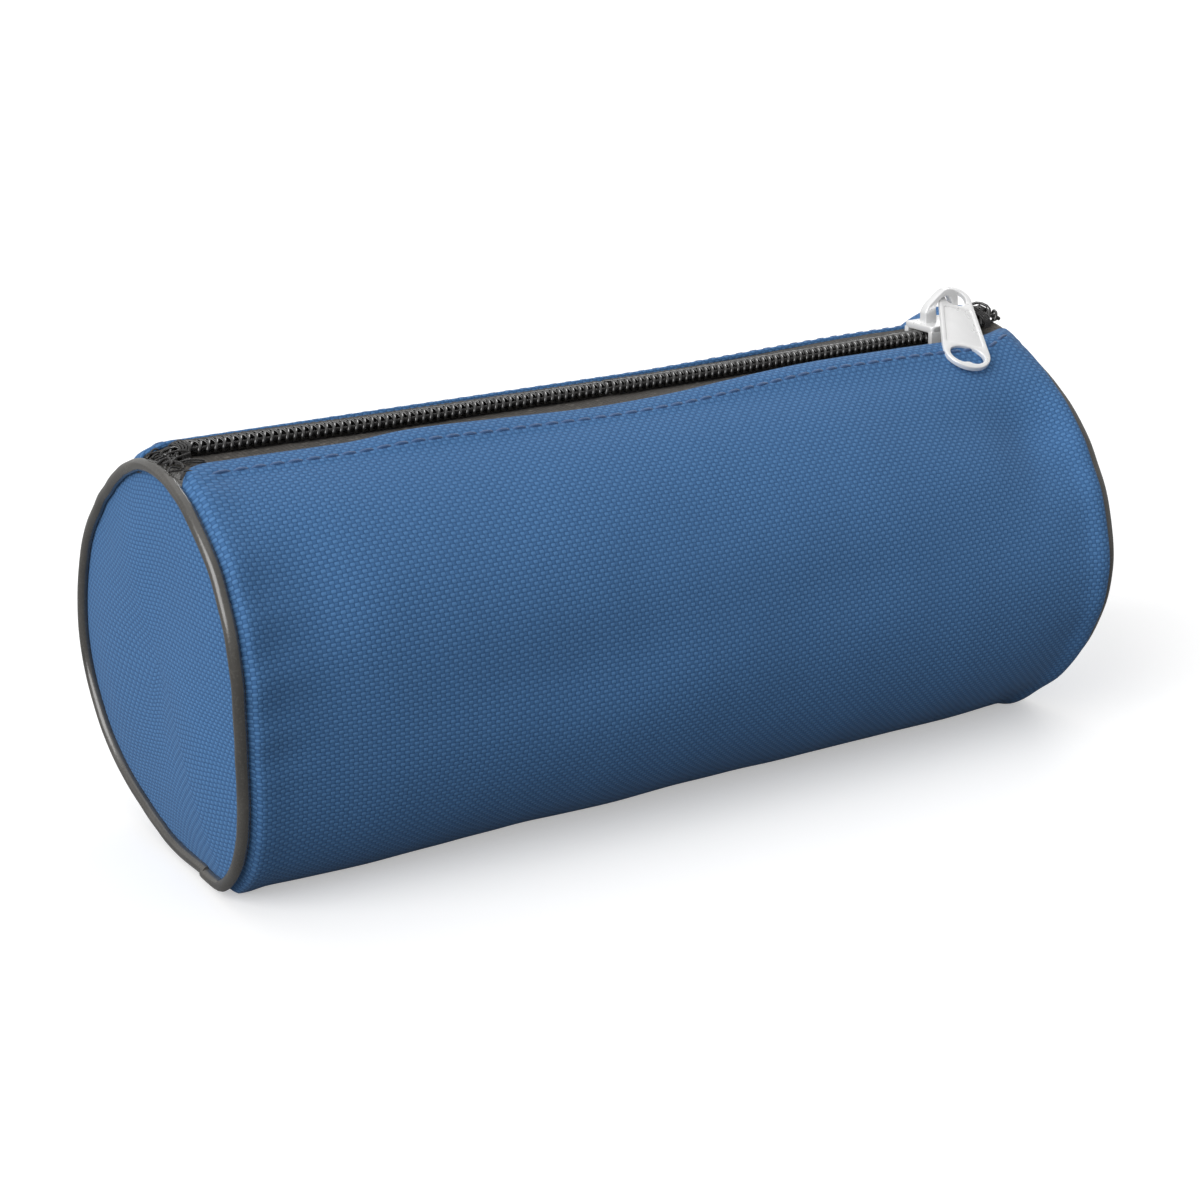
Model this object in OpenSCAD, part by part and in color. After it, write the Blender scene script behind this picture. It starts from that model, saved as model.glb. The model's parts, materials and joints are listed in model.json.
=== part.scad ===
// Barrel pencil case: a cloth tube with piped round ends and a coil zip along the top.
// X runs along the barrel, -Y is the front and +Z is up. The origin is under the middle of the
// case, on the surface that it stands on.

/* [Case] */
// Overall length over the two pipings
case_length = 200; // [150:1:260]
// Outer diameter of the barrel
barrel_d = 83; // [62:1:110]
// Thickness of the lined cloth wall
cloth_t = 1.2; // [0.8:0.1:1.6]
// Depth of the flat that the case rests on, measured from the round
base_flat_depth = 0.5; // [0.3:0.1:0.7]

/* [Mouth] */
// Half of the gap between the two hem edges
hem_gap = 10.3; // [8:0.1:12]
// Width of each hem
hem_w = 5.3; // [4:0.1:7]
// Extra thickness of the folded hem
hem_rise = 0.45; // [0.2:0.05:0.8]
// Angle from the top to the line where each side of the mouth folds
fold_angle = 50; // [40:1:60]
// Length at each end where the mouth is sewn shut
sewn_end = 28; // [24:1:40]
// Gap round each side of the mouth
lip_gap = 0.3; // [0.2:0.05:0.5]

/* [End seams] */
// Diameter of the piping
piping_d = 3; // [2.4:0.1:4]
// Diameter of the filler cord in the piping
filler_d = 1.8; // [1.2:0.1:2.2]
// Thickness of the piping flange
flange_t = 0.65; // [0.4:0.05:0.8]
// Length that the end panel is turned in along the barrel
turn_in = 4.5; // [4:0.1:6]
// Thickness of the seam binding
binding_t = 0.6; // [0.4:0.05:0.8]

/* [Zip] */
// Distance from one tooth to the next on the same side
tooth_pitch = 1.6; // [1.2:0.1:2]
// Share of the pitch that one tooth fills
tooth_fill = 0.44; // [0.3:0.01:0.46]
// Half width of the closed chain
coil_w = 3; // [2.5:0.1:3.4]
// Height of the coil
coil_h = 2.4; // [2:0.1:3]
// How far a tooth head reaches past the middle
head_reach = 0.7; // [0.5:0.05:0.9]
// Diameter of the cord inside the coil
coil_cord_d = 0.9; // [0.6:0.05:1]
// Thickness of the tape
tape_t = 0.55; // [0.4:0.05:0.8]
// Distance from the middle to the inner edge of the tape
tape_edge = 1.3; // [1.3:0.05:1.5]
// Angle from the top to the outer edge of the tape
tape_angle = 24; // [22:1:30]

/* [Slider] */
// Length of the slider
slider_l = 11.6; // [10:0.1:13]
// Distance from the outer face of the piping to the middle of the closed slider
slider_inset = 16; // [15.5:0.1:20]
// Width of the slider where the chain is closed
slider_w = 9.2; // [9:0.1:11]
// Width of the slider where the chain is open
slider_mouth_w = 11; // [10.8:0.1:13]
// Thickness of the top plate
plate_t = 1.4; // [1:0.1:1.8]
// Height of the bridge over the top plate
bridge_h = 6.95; // [6.8:0.05:8]
// Width of the bridge strap
bridge_w = 2; // [1.6:0.1:2.2]
// Thickness of the bridge strap
bridge_t = 1.3; // [1:0.1:1.6]

/* [Pull tab] */
// Distance from the middle of the eye to the tip
pull_reach = 22.5; // [18:0.5:26]
// Width at the eye
pull_eye_w = 8.4; // [8:0.1:9]
// Width at the tip
pull_tip_w = 12; // [10:0.1:13]
// Thickness of the rim
pull_t = 1; // [0.8:0.1:1.2]
// Depth of the field inside the rim
pull_field_depth = 0.25; // [0.1:0.05:0.3]
// Width of the rim
pull_rim_w = 0.9; // [0.6:0.1:1.2]
// Room under the pull where it lies on the hem
pull_rest_gap = 0.3; // [0.2:0.05:0.6]
// Angle that the pull lies round towards the middle of the case
pull_skew = 22; // [0:1:15]

/* [Stitching] */
// Length of one stitch
stitch_l = 2.4; // [1.5:0.1:3]
// Distance from one stitch to the next
stitch_pitch = 3.6; // [3.2:0.1:4.5]
// Width of the thread
thread_w = 0.5; // [0.3:0.05:0.7]
// Height of the thread over the cloth
thread_h = 0.15; // [0.1:0.05:0.3]

/* [Hidden] */
$fn = 96;

cloth_blue = [0.25, 0.40, 0.58];
thread_blue = [0.17, 0.29, 0.45];
piping_grey = [0.28, 0.27, 0.25];
zip_black = [0.06, 0.06, 0.06];
cord_white = [0.85, 0.84, 0.80];
metal_white = [0.88, 0.88, 0.88];

fit_gap = 0.05;                      // between pieces that are sewn flat together
run_gap = 0.25;                      // between the slider and what it runs on
half_l = case_length / 2;
barrel_r = barrel_d / 2;
wall_r = barrel_r - cloth_t;         // inner radius of the barrel
axis_z = barrel_r - base_flat_depth; // height of the barrel's axis
hem_r = barrel_r + hem_rise;
hem_angle = asin(hem_gap / barrel_r);
hem_end_angle = asin((hem_gap + hem_w) / barrel_r);
stitch_angle = asin((hem_gap + hem_w * 0.68) / barrel_r);
mouth_x = half_l - sewn_end;         // half length of the mouth
lip_x = mouth_x - lip_gap;
gap_angle = lip_gap / barrel_r * 180 / PI;

// End seams: x is the distance from the middle of the case
ring_r = barrel_r - piping_d / 2 - base_flat_depth;
ring_x = half_l - piping_d / 2;
seam_x = ring_x - piping_d / 2 - fit_gap;
flange_out_r = wall_r - fit_gap;
rim_out_r = flange_out_r - flange_t - fit_gap;
rim_in_x = seam_x - turn_in;
flange_in_x = rim_in_x + 1;
binding_in_x = rim_in_x - binding_t - 2 * fit_gap;
binding_in_r = rim_out_r - cloth_t - fit_gap - binding_t;

// Zip: the tape lies level between the hems, just under them
tape_out_r = wall_r - 4 * fit_gap;
tape_top_z = axis_z + sqrt(pow(wall_r - 3 * fit_gap, 2) - pow(hem_gap, 2));
tape_z = tape_top_z - tape_t;
coil_z = tape_top_z + fit_gap;
coil_top_z = coil_z + coil_h;
sewn_tape_z = axis_z + wall_r + fit_gap;           // the tape's ends lie over the end seams
sewn_coil_z = sewn_tape_z + tape_t + fit_gap;
low_zip_x = binding_in_x - 0.8;                    // where the zip climbs on to the seam
high_zip_x = low_zip_x + 0.6;

// Slider: places along it are measured from its middle, positive towards the open chain
slider_x = half_l - slider_inset;
slider_travel = 2 * slider_x;
plate_z = coil_top_z + 0.2;
plate_top_z = plate_z + plate_t;
bridge_top_z = plate_top_z + bridge_h;
leg_x = slider_l / 2 - 2.3;
leg_t = 1.6;
wedge_w = 2;
channel_w = 2 * (coil_w + 0.35);
channel_mouth_w = slider_mouth_w - 1.1;
spread = wedge_w / 2 + head_reach + fit_gap;       // how far each coil moves aside at the wedge

// Pull tab: its eye sits round the bridge's leg
pull_x = slider_x + leg_x;
pull_z = bridge_top_z - bridge_t - 1.9;
pull_h = pull_z - axis_z;
eye_w = 5.6;
eye_h = 4.8;
hole_w = 9.4;
hole_h = 5;

// The pull lies as low as the stitched hem and the cloth beyond it let it. On a round surface it
// touches where its slope equals the angle from the top, else it rests on the hem's lower corner.
rest_t = pull_t / 2 + pull_rest_gap;
hem_top_r = hem_r + thread_h;
corner_y = hem_top_r * sin(hem_end_angle);
corner_drop = pull_h - hem_top_r * cos(hem_end_angle);
corner_slope = acos(rest_t / norm([corner_y, corner_drop])) - atan2(corner_y, corner_drop);
hem_slope = acos((hem_top_r + rest_t) / pull_h);
cloth_slope = acos((barrel_r + rest_t) / pull_h);
pull_slope = min(hem_end_angle > hem_slope ? hem_slope : corner_slope, cloth_slope);

// Along X from x0 to x1, a flat shape drawn in Y and Z about the barrel's axis
module along_x(x0, x1) {
    translate([x0, 0, axis_z]) rotate([90, 0, 90]) linear_extrude(x1 - x0) children();
}

// A profile drawn as (radius, distance from the middle of the case), turned about the axis
module turned_end(side) {
    translate([0, 0, axis_z]) rotate([0, side * 90, 0]) rotate_extrude($fn = 180) children();
}

// A sector from angle a0 to a1, measured from the top towards the back
module sector(a0, a1, reach = 200) {
    steps = ceil((a1 - a0) / 60);
    arc = [for (i = [0 : steps]) let (a = a0 + (a1 - a0) * i / steps) [reach * sin(a), reach * cos(a)]];
    polygon(concat([[0, 0]], arc));
}

module band(r_in, r_out, a0, a1) {
    intersection() {
        difference() {
            circle(r_out, $fn = 180);
            circle(r_in, $fn = 180);
        }
        sector(a0, a1);
    }
}

module above_floor() {
    intersection() {
        children();
        translate([-barrel_d, -axis_z]) square([2 * barrel_d, 2 * barrel_d]);
    }
}

// Barrel cloth from angle a0 to a1, with a folded hem at the edge nearer the top
module hemmed_cloth(a0, a1) {
    band(wall_r, barrel_r, a0, a1);
    band(barrel_r - cloth_t / 2, hem_r, a0, hem_end_angle);
}

module barrel_panel() {
    color(cloth_blue) {
        along_x(-mouth_x, mouth_x) above_floor() band(wall_r, barrel_r, fold_angle, 360 - fold_angle);
        for (side = [-1, 1]) {
            x0 = side > 0 ? mouth_x : -seam_x;
            along_x(x0, x0 + seam_x - mouth_x) above_floor() {
                hemmed_cloth(hem_angle, 180);
                mirror([1, 0]) hemmed_cloth(hem_angle, 180);
            }
        }
    }
}

// One side of the mouth: side is -1 for the front and 1 for the back
module lip_panel(side) {
    color(cloth_blue)
        along_x(-lip_x, lip_x) mirror([side < 0 ? 1 : 0, 0]) hemmed_cloth(hem_angle, fold_angle - gap_angle);
}

// Round end panel, turned in along the barrel
module end_panel(side) {
    corner_r = 2;
    color(cloth_blue) turned_end(side) {
        translate([0, seam_x - cloth_t]) square([rim_out_r - corner_r, cloth_t]);
        translate([rim_out_r - cloth_t, rim_in_x]) square([cloth_t, turn_in - corner_r]);
        intersection() {
            translate([rim_out_r - corner_r, seam_x - corner_r]) difference() {
                circle(corner_r);
                circle(corner_r - cloth_t);
            }
            translate([rim_out_r - corner_r, seam_x - corner_r]) square(corner_r);
        }
    }
}

module piping_cover(side) {
    color(piping_grey) turned_end(side) difference() {
        union() {
            translate([ring_r, ring_x]) circle(piping_d / 2);
            translate([flange_out_r - flange_t, flange_in_x]) square([flange_t, ring_x - flange_in_x]);
        }
        translate([ring_r, ring_x]) circle(filler_d / 2 + fit_gap);
    }
}

module piping_cord(side) {
    color(cord_white) turned_end(side) translate([ring_r, ring_x]) circle(filler_d / 2);
}

// Binding folded over the inner edges of the end seam
module seam_binding(side) {
    leg_out_x = flange_in_x - fit_gap;
    inner_leg = turn_in * 0.6;
    color(zip_black) turned_end(side) {
        translate([binding_in_r, binding_in_x]) square([flange_out_r - binding_in_r, binding_t]);
        translate([rim_out_r + fit_gap, binding_in_x]) square([flange_t, leg_out_x - binding_in_x]);
        translate([binding_in_r, binding_in_x]) square([binding_t, inner_leg]);
    }
}

// Ring of stitches on the inside of the end seam
module seam_stitching(side) {
    r = binding_in_r - fit_gap - thread_h;
    count = floor(2 * PI * r / stitch_pitch);
    stitch_x = side * (binding_in_x + turn_in * 0.3);
    color(thread_blue)
        for (i = [0 : count - 1])
            translate([stitch_x, 0, axis_z]) rotate([i * 360 / count, 0, 0])
                translate([-thread_w / 2, -stitch_l / 2, r - 0.1]) cube([thread_w, stitch_l, thread_h]);
}

// Half of the zip tape in Y and Z: a level strip by the coil, then a strip under the cloth
module tape_section() {
    level_y = tape_z - axis_z;
    arc_start = asin((hem_gap - 0.4) / tape_out_r);
    translate([tape_edge, level_y]) square([hem_gap - 0.1 - tape_edge, tape_t]);
    band(tape_out_r - tape_t, tape_out_r, arc_start, tape_angle);
}

module zip_tape(side) {
    color(zip_black) along_x(-lip_x, lip_x) mirror([side < 0 ? 1 : 0, 0]) tape_section();
}

// Both tapes where the zip is sewn shut: level, then up and over the end seam
module zip_end_tapes(side) {
    x_low = [mouth_x, low_zip_x];
    x_step = [low_zip_x, high_zip_x];
    x_high = [high_zip_x, seam_x - fit_gap];
    strip = [hem_gap - 0.4 - tape_edge, sewn_tape_z + tape_t - tape_z];
    color(zip_black) mirror([side < 0 ? 1 : 0, 0, 0])
        for (flip = [0, 1]) {
            along_x(x_low[0], x_low[1]) mirror([flip, 0]) tape_section();
            along_x(x_step[0], x_step[1]) mirror([flip, 0])
                translate([tape_edge, tape_z - axis_z]) square(strip);
            along_x(x_high[0], x_high[1]) mirror([flip, 0])
                translate([tape_edge, sewn_tape_z - axis_z]) square([strip[0], tape_t]);
        }
}

// How far the coils stand aside at x: they part round the wedge of the closed slider
function ramp(t) = t <= 0 ? 0 : t >= 1 ? 1 : t * t * (3 - 2 * t);
function parted(x) = spread * ramp((x - slider_x + 0.5) / 3.5) * (1 - 0.5 * ramp((x - slider_x - 6) / 3));

// Outline of one comb of teeth in X and Y from x0 to x1, with its heads at the middle.
// apart is 1 where the comb stands aside at the slider, else 0.
module comb(side, x0, x1, apart = 0) {
    shift = side < 0 ? 0 : tooth_pitch / 2;
    half_w = tooth_pitch * tooth_fill / 2;
    first = ceil((x0 + half_w - shift) / tooth_pitch);
    last = floor((x1 - half_w - shift) / tooth_pitch);
    spine_w = 0.6;
    heads = [
        for (i = [first : last])
            let (x = i * tooth_pitch + shift, y = apart * parted(x), root = y + coil_w - spine_w)
                each [[x - half_w, root], [x - half_w, y - head_reach],
                      [x + half_w, y - head_reach], [x + half_w, root]]
    ];
    back = [for (i = [last : -1 : first]) let (x = i * tooth_pitch + shift) [x, apart * parted(x) + coil_w]];
    start = [x0, apart * parted(x0) + coil_w - spine_w];
    ends = [[x1, apart * parted(x1) + coil_w - spine_w], [x1, apart * parted(x1) + coil_w]];
    outline = concat([start], heads, ends, back, [[x0, apart * parted(x0) + coil_w]]);
    mirror([0, side < 0 ? 1 : 0]) polygon(outline);
}

module zip_coil(side) {
    cord_room = coil_cord_d + 2 * fit_gap;
    color(zip_black) difference() {
        translate([0, 0, coil_z]) linear_extrude(coil_h) comb(side, -lip_x, lip_x);
        translate([-half_l, side * coil_cord_y() - cord_room / 2, coil_z + (coil_h - cord_room) / 2])
            cube([case_length, cord_room, cord_room]);
    }
}

function coil_cord_y() = coil_w - 0.6 - coil_cord_d / 2 - 2 * fit_gap;

module coil_cord(side) {
    color(cord_white) translate([-lip_x, side * coil_cord_y(), coil_z + coil_h / 2])
        rotate([0, 90, 0]) cylinder(d = coil_cord_d, h = 2 * lip_x, $fn = 24);
}

// Both coils where the zip is sewn shut. Those at the slider's end stand apart round it.
module zip_end_coils(side) {
    apart = side > 0 ? 1 : 0;
    x_low = [mouth_x + fit_gap, low_zip_x];
    x_high = [low_zip_x, seam_x - fit_gap];
    color(zip_black) mirror([side < 0 ? 1 : 0, 0, 0])
        for (half = [-1, 1]) {
            translate([0, 0, coil_z]) linear_extrude(coil_h) comb(half, x_low[0], x_low[1], apart);
            translate([0, 0, sewn_coil_z]) linear_extrude(coil_h) comb(half, x_high[0], x_high[1], apart);
            step_y = apart * parted(low_zip_x);
            mirror([0, half < 0 ? 1 : 0, 0])
                translate([low_zip_x - 0.5, step_y + coil_w - 0.6, coil_z])
                    cube([0.5, 0.6, sewn_coil_z + coil_h - coil_z]);
        }
}

// Thread bound over both coils just past the slider's stop
module bar_tack(side) {
    tack_l = 1.4;
    x0 = high_zip_x + 1.2;
    coil_out = coil_w + (side > 0 ? parted(x0) : 0);
    inner_w = 2 * (coil_out + 0.15);
    outer_w = inner_w + 2 * thread_w;
    base = sewn_coil_z;
    top = sewn_coil_z + coil_h + fit_gap;
    color(thread_blue) mirror([side < 0 ? 1 : 0, 0, 0]) difference() {
        translate([x0, -outer_w / 2, base]) cube([tack_l, outer_w, top + thread_w - base]);
        translate([x0 - 1, -inner_w / 2, base - 1]) cube([tack_l + 2, inner_w, top - base + 1]);
    }
}

// A row of stitches along the hem on one side, from x0 to x1
module stitch_row(side, x0, x1) {
    count = floor((x1 - x0) / stitch_pitch);
    first = (x0 + x1) / 2 - (count - 1) * stitch_pitch / 2;
    for (i = [0 : count - 1])
        translate([first + i * stitch_pitch, 0, axis_z]) rotate([-side * stitch_angle, 0, 0])
            translate([-stitch_l / 2, -thread_w / 2, hem_r + 0.02]) cube([stitch_l, thread_w, thread_h]);
}

module hem_stitching(side) {
    color(thread_blue) stitch_row(side, -lip_x, lip_x);
}

module hem_stitching_ends() {
    color(thread_blue)
        for (side = [-1, 1]) {
            stitch_row(side, mouth_x, seam_x);
            stitch_row(side, -seam_x, -mouth_x);
        }
}

// Outline of a slider plate: narrow where the chain is closed, wide where it is open
module plate_outline(narrow, wide, l0, l1) {
    polygon([
        [l0, -narrow / 2], [-0.5, -narrow / 2], [3, -wide / 2], [l1, -wide / 2 + 0.4],
        [l1, wide / 2 - 0.4], [3, wide / 2], [-0.5, narrow / 2], [l0, narrow / 2]
    ]);
}

module slider_channel() {
    plate_outline(channel_w, channel_mouth_w, -slider_l, slider_l);
}

module bridge_outline() {
    left = -slider_l / 2 + 1.2;
    right = leg_x + leg_t / 2;
    low = plate_z + plate_t / 2;
    under = bridge_top_z - bridge_t;
    shoulder = plate_top_z + 3.8;
    polygon([
        [left, low], [left, shoulder], [left + 2.4, bridge_top_z - 0.5], [left + 3.8, bridge_top_z],
        [right - 0.8, bridge_top_z], [right, bridge_top_z - 0.8], [right, low],
        [right - leg_t, low], [right - leg_t, under], [left + 2.8, under],
        [left + 1.3, shoulder - 0.6], [left + 1.3, low]
    ]);
}

module slider_body() {
    l0 = -slider_l / 2;
    l1 = slider_l / 2;
    floor_z = tape_z - run_gap - 0.4;
    bottom_t = 1.2;
    color(metal_white) translate([slider_x, 0, 0]) {
        translate([0, 0, plate_z]) linear_extrude(plate_t)
            plate_outline(slider_w, slider_mouth_w, l0, l1);
        translate([0, 0, tape_top_z + run_gap]) linear_extrude(plate_z - tape_top_z - run_gap)
            difference() {
                plate_outline(slider_w, slider_mouth_w, l0, l1);
                slider_channel();
            }
        translate([0, 0, floor_z - bottom_t]) linear_extrude(bottom_t)
            plate_outline(slider_w, slider_mouth_w, l0, l1);
        translate([0, 0, floor_z]) linear_extrude(0.4)
            difference() {
                plate_outline(slider_w, slider_mouth_w, l0, l1);
                slider_channel();
            }
        translate([0, 0, floor_z]) linear_extrude(plate_z - floor_z)
            polygon([[1.8, 0], [3, -wedge_w / 2], [l1 - 0.7, -wedge_w / 2 + 0.2],
                     [l1 - 0.7, wedge_w / 2 - 0.2], [3, wedge_w / 2]]);
        rotate([90, 0, 0]) linear_extrude(bridge_w, center = true) bridge_outline();
    }
}

// A flat shape with round ends: radius r0 at the origin and r1 at distance d towards -Y
module tapered_outline(r0, r1, d) {
    lean = asin((r1 - r0) / d);
    circle(r0);
    translate([0, -d]) circle(r1);
    polygon([
        [r0 * cos(lean), r0 * sin(lean)], [-r0 * cos(lean), r0 * sin(lean)],
        [-r1 * cos(lean), -d + r1 * sin(lean)], [r1 * cos(lean), -d + r1 * sin(lean)]
    ]);
}

// A slot with round ends, w wide in X and h tall
module slot_outline(w, h) {
    for (side = [-1, 1])
        translate([side * (w - h) / 2, 0]) circle(h / 2);
    square([w - h, h], center = true);
}

module pull_tab() {
    eye_r = pull_eye_w / 2;
    tip_r = pull_tip_w / 2;
    tip_y = pull_reach - tip_r;
    hole_y = -pull_reach + pull_rim_w + 0.5 + hole_h / 2;
    field_top = -eye_h / 2 - 1.6;
    field_end = hole_y + hole_h / 2 + 0.9;
    color(metal_white)
        translate([pull_x, 0, pull_z]) rotate([pull_slope, 0, 0]) rotate([0, 0, -pull_skew])
            difference() {
                translate([0, 0, -pull_t / 2]) linear_extrude(pull_t)
                    difference() {
                        tapered_outline(eye_r, tip_r, tip_y);
                        slot_outline(eye_w, eye_h);
                        difference() {
                            translate([0, hole_y]) slot_outline(hole_w, hole_h);
                            translate([0, hole_y - hole_h / 2]) circle(0.8, $fn = 32);
                        }
                    }
                for (face = [-1, 1])
                    translate([0, 0, face * (pull_t / 2 - pull_field_depth / 2)])
                        linear_extrude(pull_field_depth + 0.001, center = true)
                            intersection() {
                                tapered_outline(eye_r - pull_rim_w, tip_r - pull_rim_w, tip_y);
                                translate([-tip_r, field_end]) square([2 * tip_r, field_top - field_end]);
                            }
            }
}

barrel_panel();
lip_panel(-1);  // front_lip_panel
lip_panel(1);  // back_lip_panel
end_panel(-1);  // end_panel_left
end_panel(1);  // end_panel_right
piping_cover(-1);  // piping_cover_left
piping_cover(1);  // piping_cover_right
piping_cord(-1);  // piping_cord_left
piping_cord(1);  // piping_cord_right
seam_binding(-1);  // seam_binding_left
seam_binding(1);  // seam_binding_right
seam_stitching(-1);  // seam_stitching_left
seam_stitching(1);  // seam_stitching_right
zip_tape(-1);  // zip_tape_front
zip_tape(1);  // zip_tape_back
zip_coil(-1);  // zip_coil_front
zip_coil(1);  // zip_coil_back
coil_cord(-1);  // coil_cord_front
coil_cord(1);  // coil_cord_back
zip_end_tapes(-1);  // zip_end_tapes_left
zip_end_tapes(1);  // zip_end_tapes_right
zip_end_coils(-1);  // zip_end_coils_left
zip_end_coils(1);  // zip_end_coils_right
bar_tack(-1);  // bar_tack_left
bar_tack(1);  // bar_tack_right
hem_stitching(-1);  // hem_stitching_front
hem_stitching(1);  // hem_stitching_back
hem_stitching_ends();
slider_body();
pull_tab();
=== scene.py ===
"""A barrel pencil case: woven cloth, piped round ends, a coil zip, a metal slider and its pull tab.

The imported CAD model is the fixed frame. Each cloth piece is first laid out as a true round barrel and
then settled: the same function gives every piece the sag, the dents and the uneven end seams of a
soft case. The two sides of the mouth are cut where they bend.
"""

import json
import math
import random

import bmesh
import bpy
from bpy.props import FloatProperty, FloatVectorProperty, IntProperty, PointerProperty
from mathutils import Matrix, Vector, noise


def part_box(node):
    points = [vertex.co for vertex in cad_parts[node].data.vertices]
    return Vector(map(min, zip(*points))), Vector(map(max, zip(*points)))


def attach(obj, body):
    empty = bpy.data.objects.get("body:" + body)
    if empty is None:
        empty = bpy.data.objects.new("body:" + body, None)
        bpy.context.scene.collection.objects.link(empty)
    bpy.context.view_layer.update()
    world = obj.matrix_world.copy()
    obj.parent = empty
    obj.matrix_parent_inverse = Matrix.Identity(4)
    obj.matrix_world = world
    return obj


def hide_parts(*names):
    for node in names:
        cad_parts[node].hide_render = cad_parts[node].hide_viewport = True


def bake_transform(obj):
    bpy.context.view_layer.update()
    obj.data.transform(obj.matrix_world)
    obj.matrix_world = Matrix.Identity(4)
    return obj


bl_info = {
    "name": "Barrel pencil case",
    "version": (1, 0, 0),
    "blender": (4, 5, 0),
    "location": "3D View > Sidebar > Pencil case",
    "description": "Builds the cloth, piping, zip and slider of a barrel pencil case round its frame",
    "category": "Add Mesh",
}

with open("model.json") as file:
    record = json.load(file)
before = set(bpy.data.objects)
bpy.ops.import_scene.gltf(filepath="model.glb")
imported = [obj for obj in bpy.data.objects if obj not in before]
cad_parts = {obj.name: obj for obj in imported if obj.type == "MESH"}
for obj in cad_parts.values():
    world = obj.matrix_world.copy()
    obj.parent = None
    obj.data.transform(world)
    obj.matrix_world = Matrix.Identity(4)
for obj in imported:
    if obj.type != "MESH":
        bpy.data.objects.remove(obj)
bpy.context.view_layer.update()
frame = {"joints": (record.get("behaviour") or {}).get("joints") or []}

MM = 0.001
FLAT_DEPTH = 0.5 * MM                       # how far the underside is flattened
RING_LOW, RING_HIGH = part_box("piping_cover_right")
HALF_L = RING_HIGH.x
AXIS_Z = (RING_LOW.z + RING_HIGH.z) / 2
BARREL_R = AXIS_Z + FLAT_DEPTH
SEAM_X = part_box("barrel_panel")[1].x
COIL_LOW, COIL_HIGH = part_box("zip_coil_back")
SLIDER_LOW, SLIDER_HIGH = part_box("slider_body")
SLIDER_X = (SLIDER_LOW.x + SLIDER_HIGH.x) / 2
JOINTS = {joint["name"]: joint for joint in frame["joints"]}
PULL_PIVOT = Vector(JOINTS["pull_lift"]["pos_m"])
FRONT, BACK = -1, 1
LEFT, RIGHT = -1, 1
SIDE_NAME = {FRONT: "front", BACK: "back"}
END_NAME = {LEFT: "left", RIGHT: "right"}
WEAVE = "weave"


# ---------------------------------------------------------------- sizes and colours


class ClothSizes(bpy.types.PropertyGroup):
    """Sizes of the cloth barrel and its end seams."""
    thickness: FloatProperty(name="Cloth thickness", description="Thickness of the cloth",
                             default=0.55 * MM, unit="LENGTH")
    weave_pitch: FloatProperty(name="Weave pitch", description="Distance from one thread to the next",
                               default=0.86 * MM, unit="LENGTH")
    hem_gap: FloatProperty(name="Hem gap", description="Distance from the middle of the zip to a hem",
                           default=10.3 * MM, unit="LENGTH")
    hem_width: FloatProperty(name="Hem width", description="Width of the cloth folded under",
                             default=5.0 * MM, unit="LENGTH")
    hem_rise: FloatProperty(name="Hem rise", description="How far a hem stands over the cloth",
                            default=0.35 * MM, unit="LENGTH")
    stitch_in: FloatProperty(name="Stitch distance", description="From the hem's edge to its stitches",
                             default=3.6 * MM, unit="LENGTH")
    stitch_pitch: FloatProperty(name="Stitch pitch", description="From one stitch to the next",
                                default=3.6 * MM, unit="LENGTH")
    stitch_length: FloatProperty(name="Stitch length", description="Length of one stitch",
                                 default=2.7 * MM, unit="LENGTH")
    piping_radius: FloatProperty(name="Piping radius", description="Outer radius of the piping",
                                 default=1.2 * MM, unit="LENGTH")
    sag: FloatProperty(name="Sag", description="How far the underside spreads",
                       default=3.0 * MM, unit="LENGTH")
    slack: FloatProperty(name="Slack", description="How far the cloth lies inside the full round",
                         default=0.8 * MM, unit="LENGTH")


class ZipSizes(bpy.types.PropertyGroup):
    """Sizes of the zip, its slider and its pull tab."""
    tooth_pitch: FloatProperty(name="Tooth pitch", description="From one tooth to the next on a side",
                               default=1.6 * MM, unit="LENGTH")
    filament: FloatProperty(name="Filament radius", description="Radius of the coil's filament",
                            default=0.33 * MM, unit="LENGTH")
    tape_thickness: FloatProperty(name="Tape thickness", description="Thickness of the zip tape",
                                  default=0.5 * MM, unit="LENGTH")
    tangle: IntProperty(name="Loose ends", description="Loose threads at the zip's left end", default=34)
    pull_reach: FloatProperty(name="Pull reach", description="From the eye's middle to the tip",
                              default=24.0 * MM, unit="LENGTH")
    pull_slope: FloatProperty(name="Pull slope", description="Angle below the level at which it lies",
                              default=math.radians(30.5), subtype="ANGLE")
    pull_skew: FloatProperty(name="Pull skew", description="Angle round towards the middle of the case",
                             default=math.radians(27), subtype="ANGLE")


def colour(name, text, value):
    return FloatVectorProperty(name=name, description=text, default=value, size=3, subtype="COLOR",
                               min=0, max=1)


class CaseColours(bpy.types.PropertyGroup):
    """Colours, as linear light."""
    cloth_light: colour("Cloth, light threads", "Threads that run along the case", (0.083, 0.205, 0.420))
    cloth_dark: colour("Cloth, dark threads", "Threads that run round the case", (0.052, 0.140, 0.310))
    # Laid where the weave is low: painted shade in the gaps between the threads
    cloth_gap_shade: colour("Cloth, gaps", "The gaps between the threads", (0.014, 0.050, 0.128))
    vinyl: colour("Piping", "Vinyl of the piping", (0.046, 0.043, 0.038))
    tape: colour("Zip tape", "Threads of the zip tape", (0.070, 0.064, 0.057))
    coil: colour("Coil", "Filament of the zip", (0.010, 0.0095, 0.009))
    thread: colour("Thread", "Stitching of the hems", (0.026, 0.075, 0.185))
    metal: colour("Metal", "Plating of the slider and the pull tab", (0.86, 0.86, 0.86))


def cloth():
    return bpy.context.scene.case_cloth


def zipper():
    return bpy.context.scene.case_zip


def colours():
    return bpy.context.scene.case_colours


# ---------------------------------------------------------------- the shape of the soft case


def smooth(t):
    t = min(1.0, max(0.0, t))
    return t * t * (3 - 2 * t)


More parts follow.
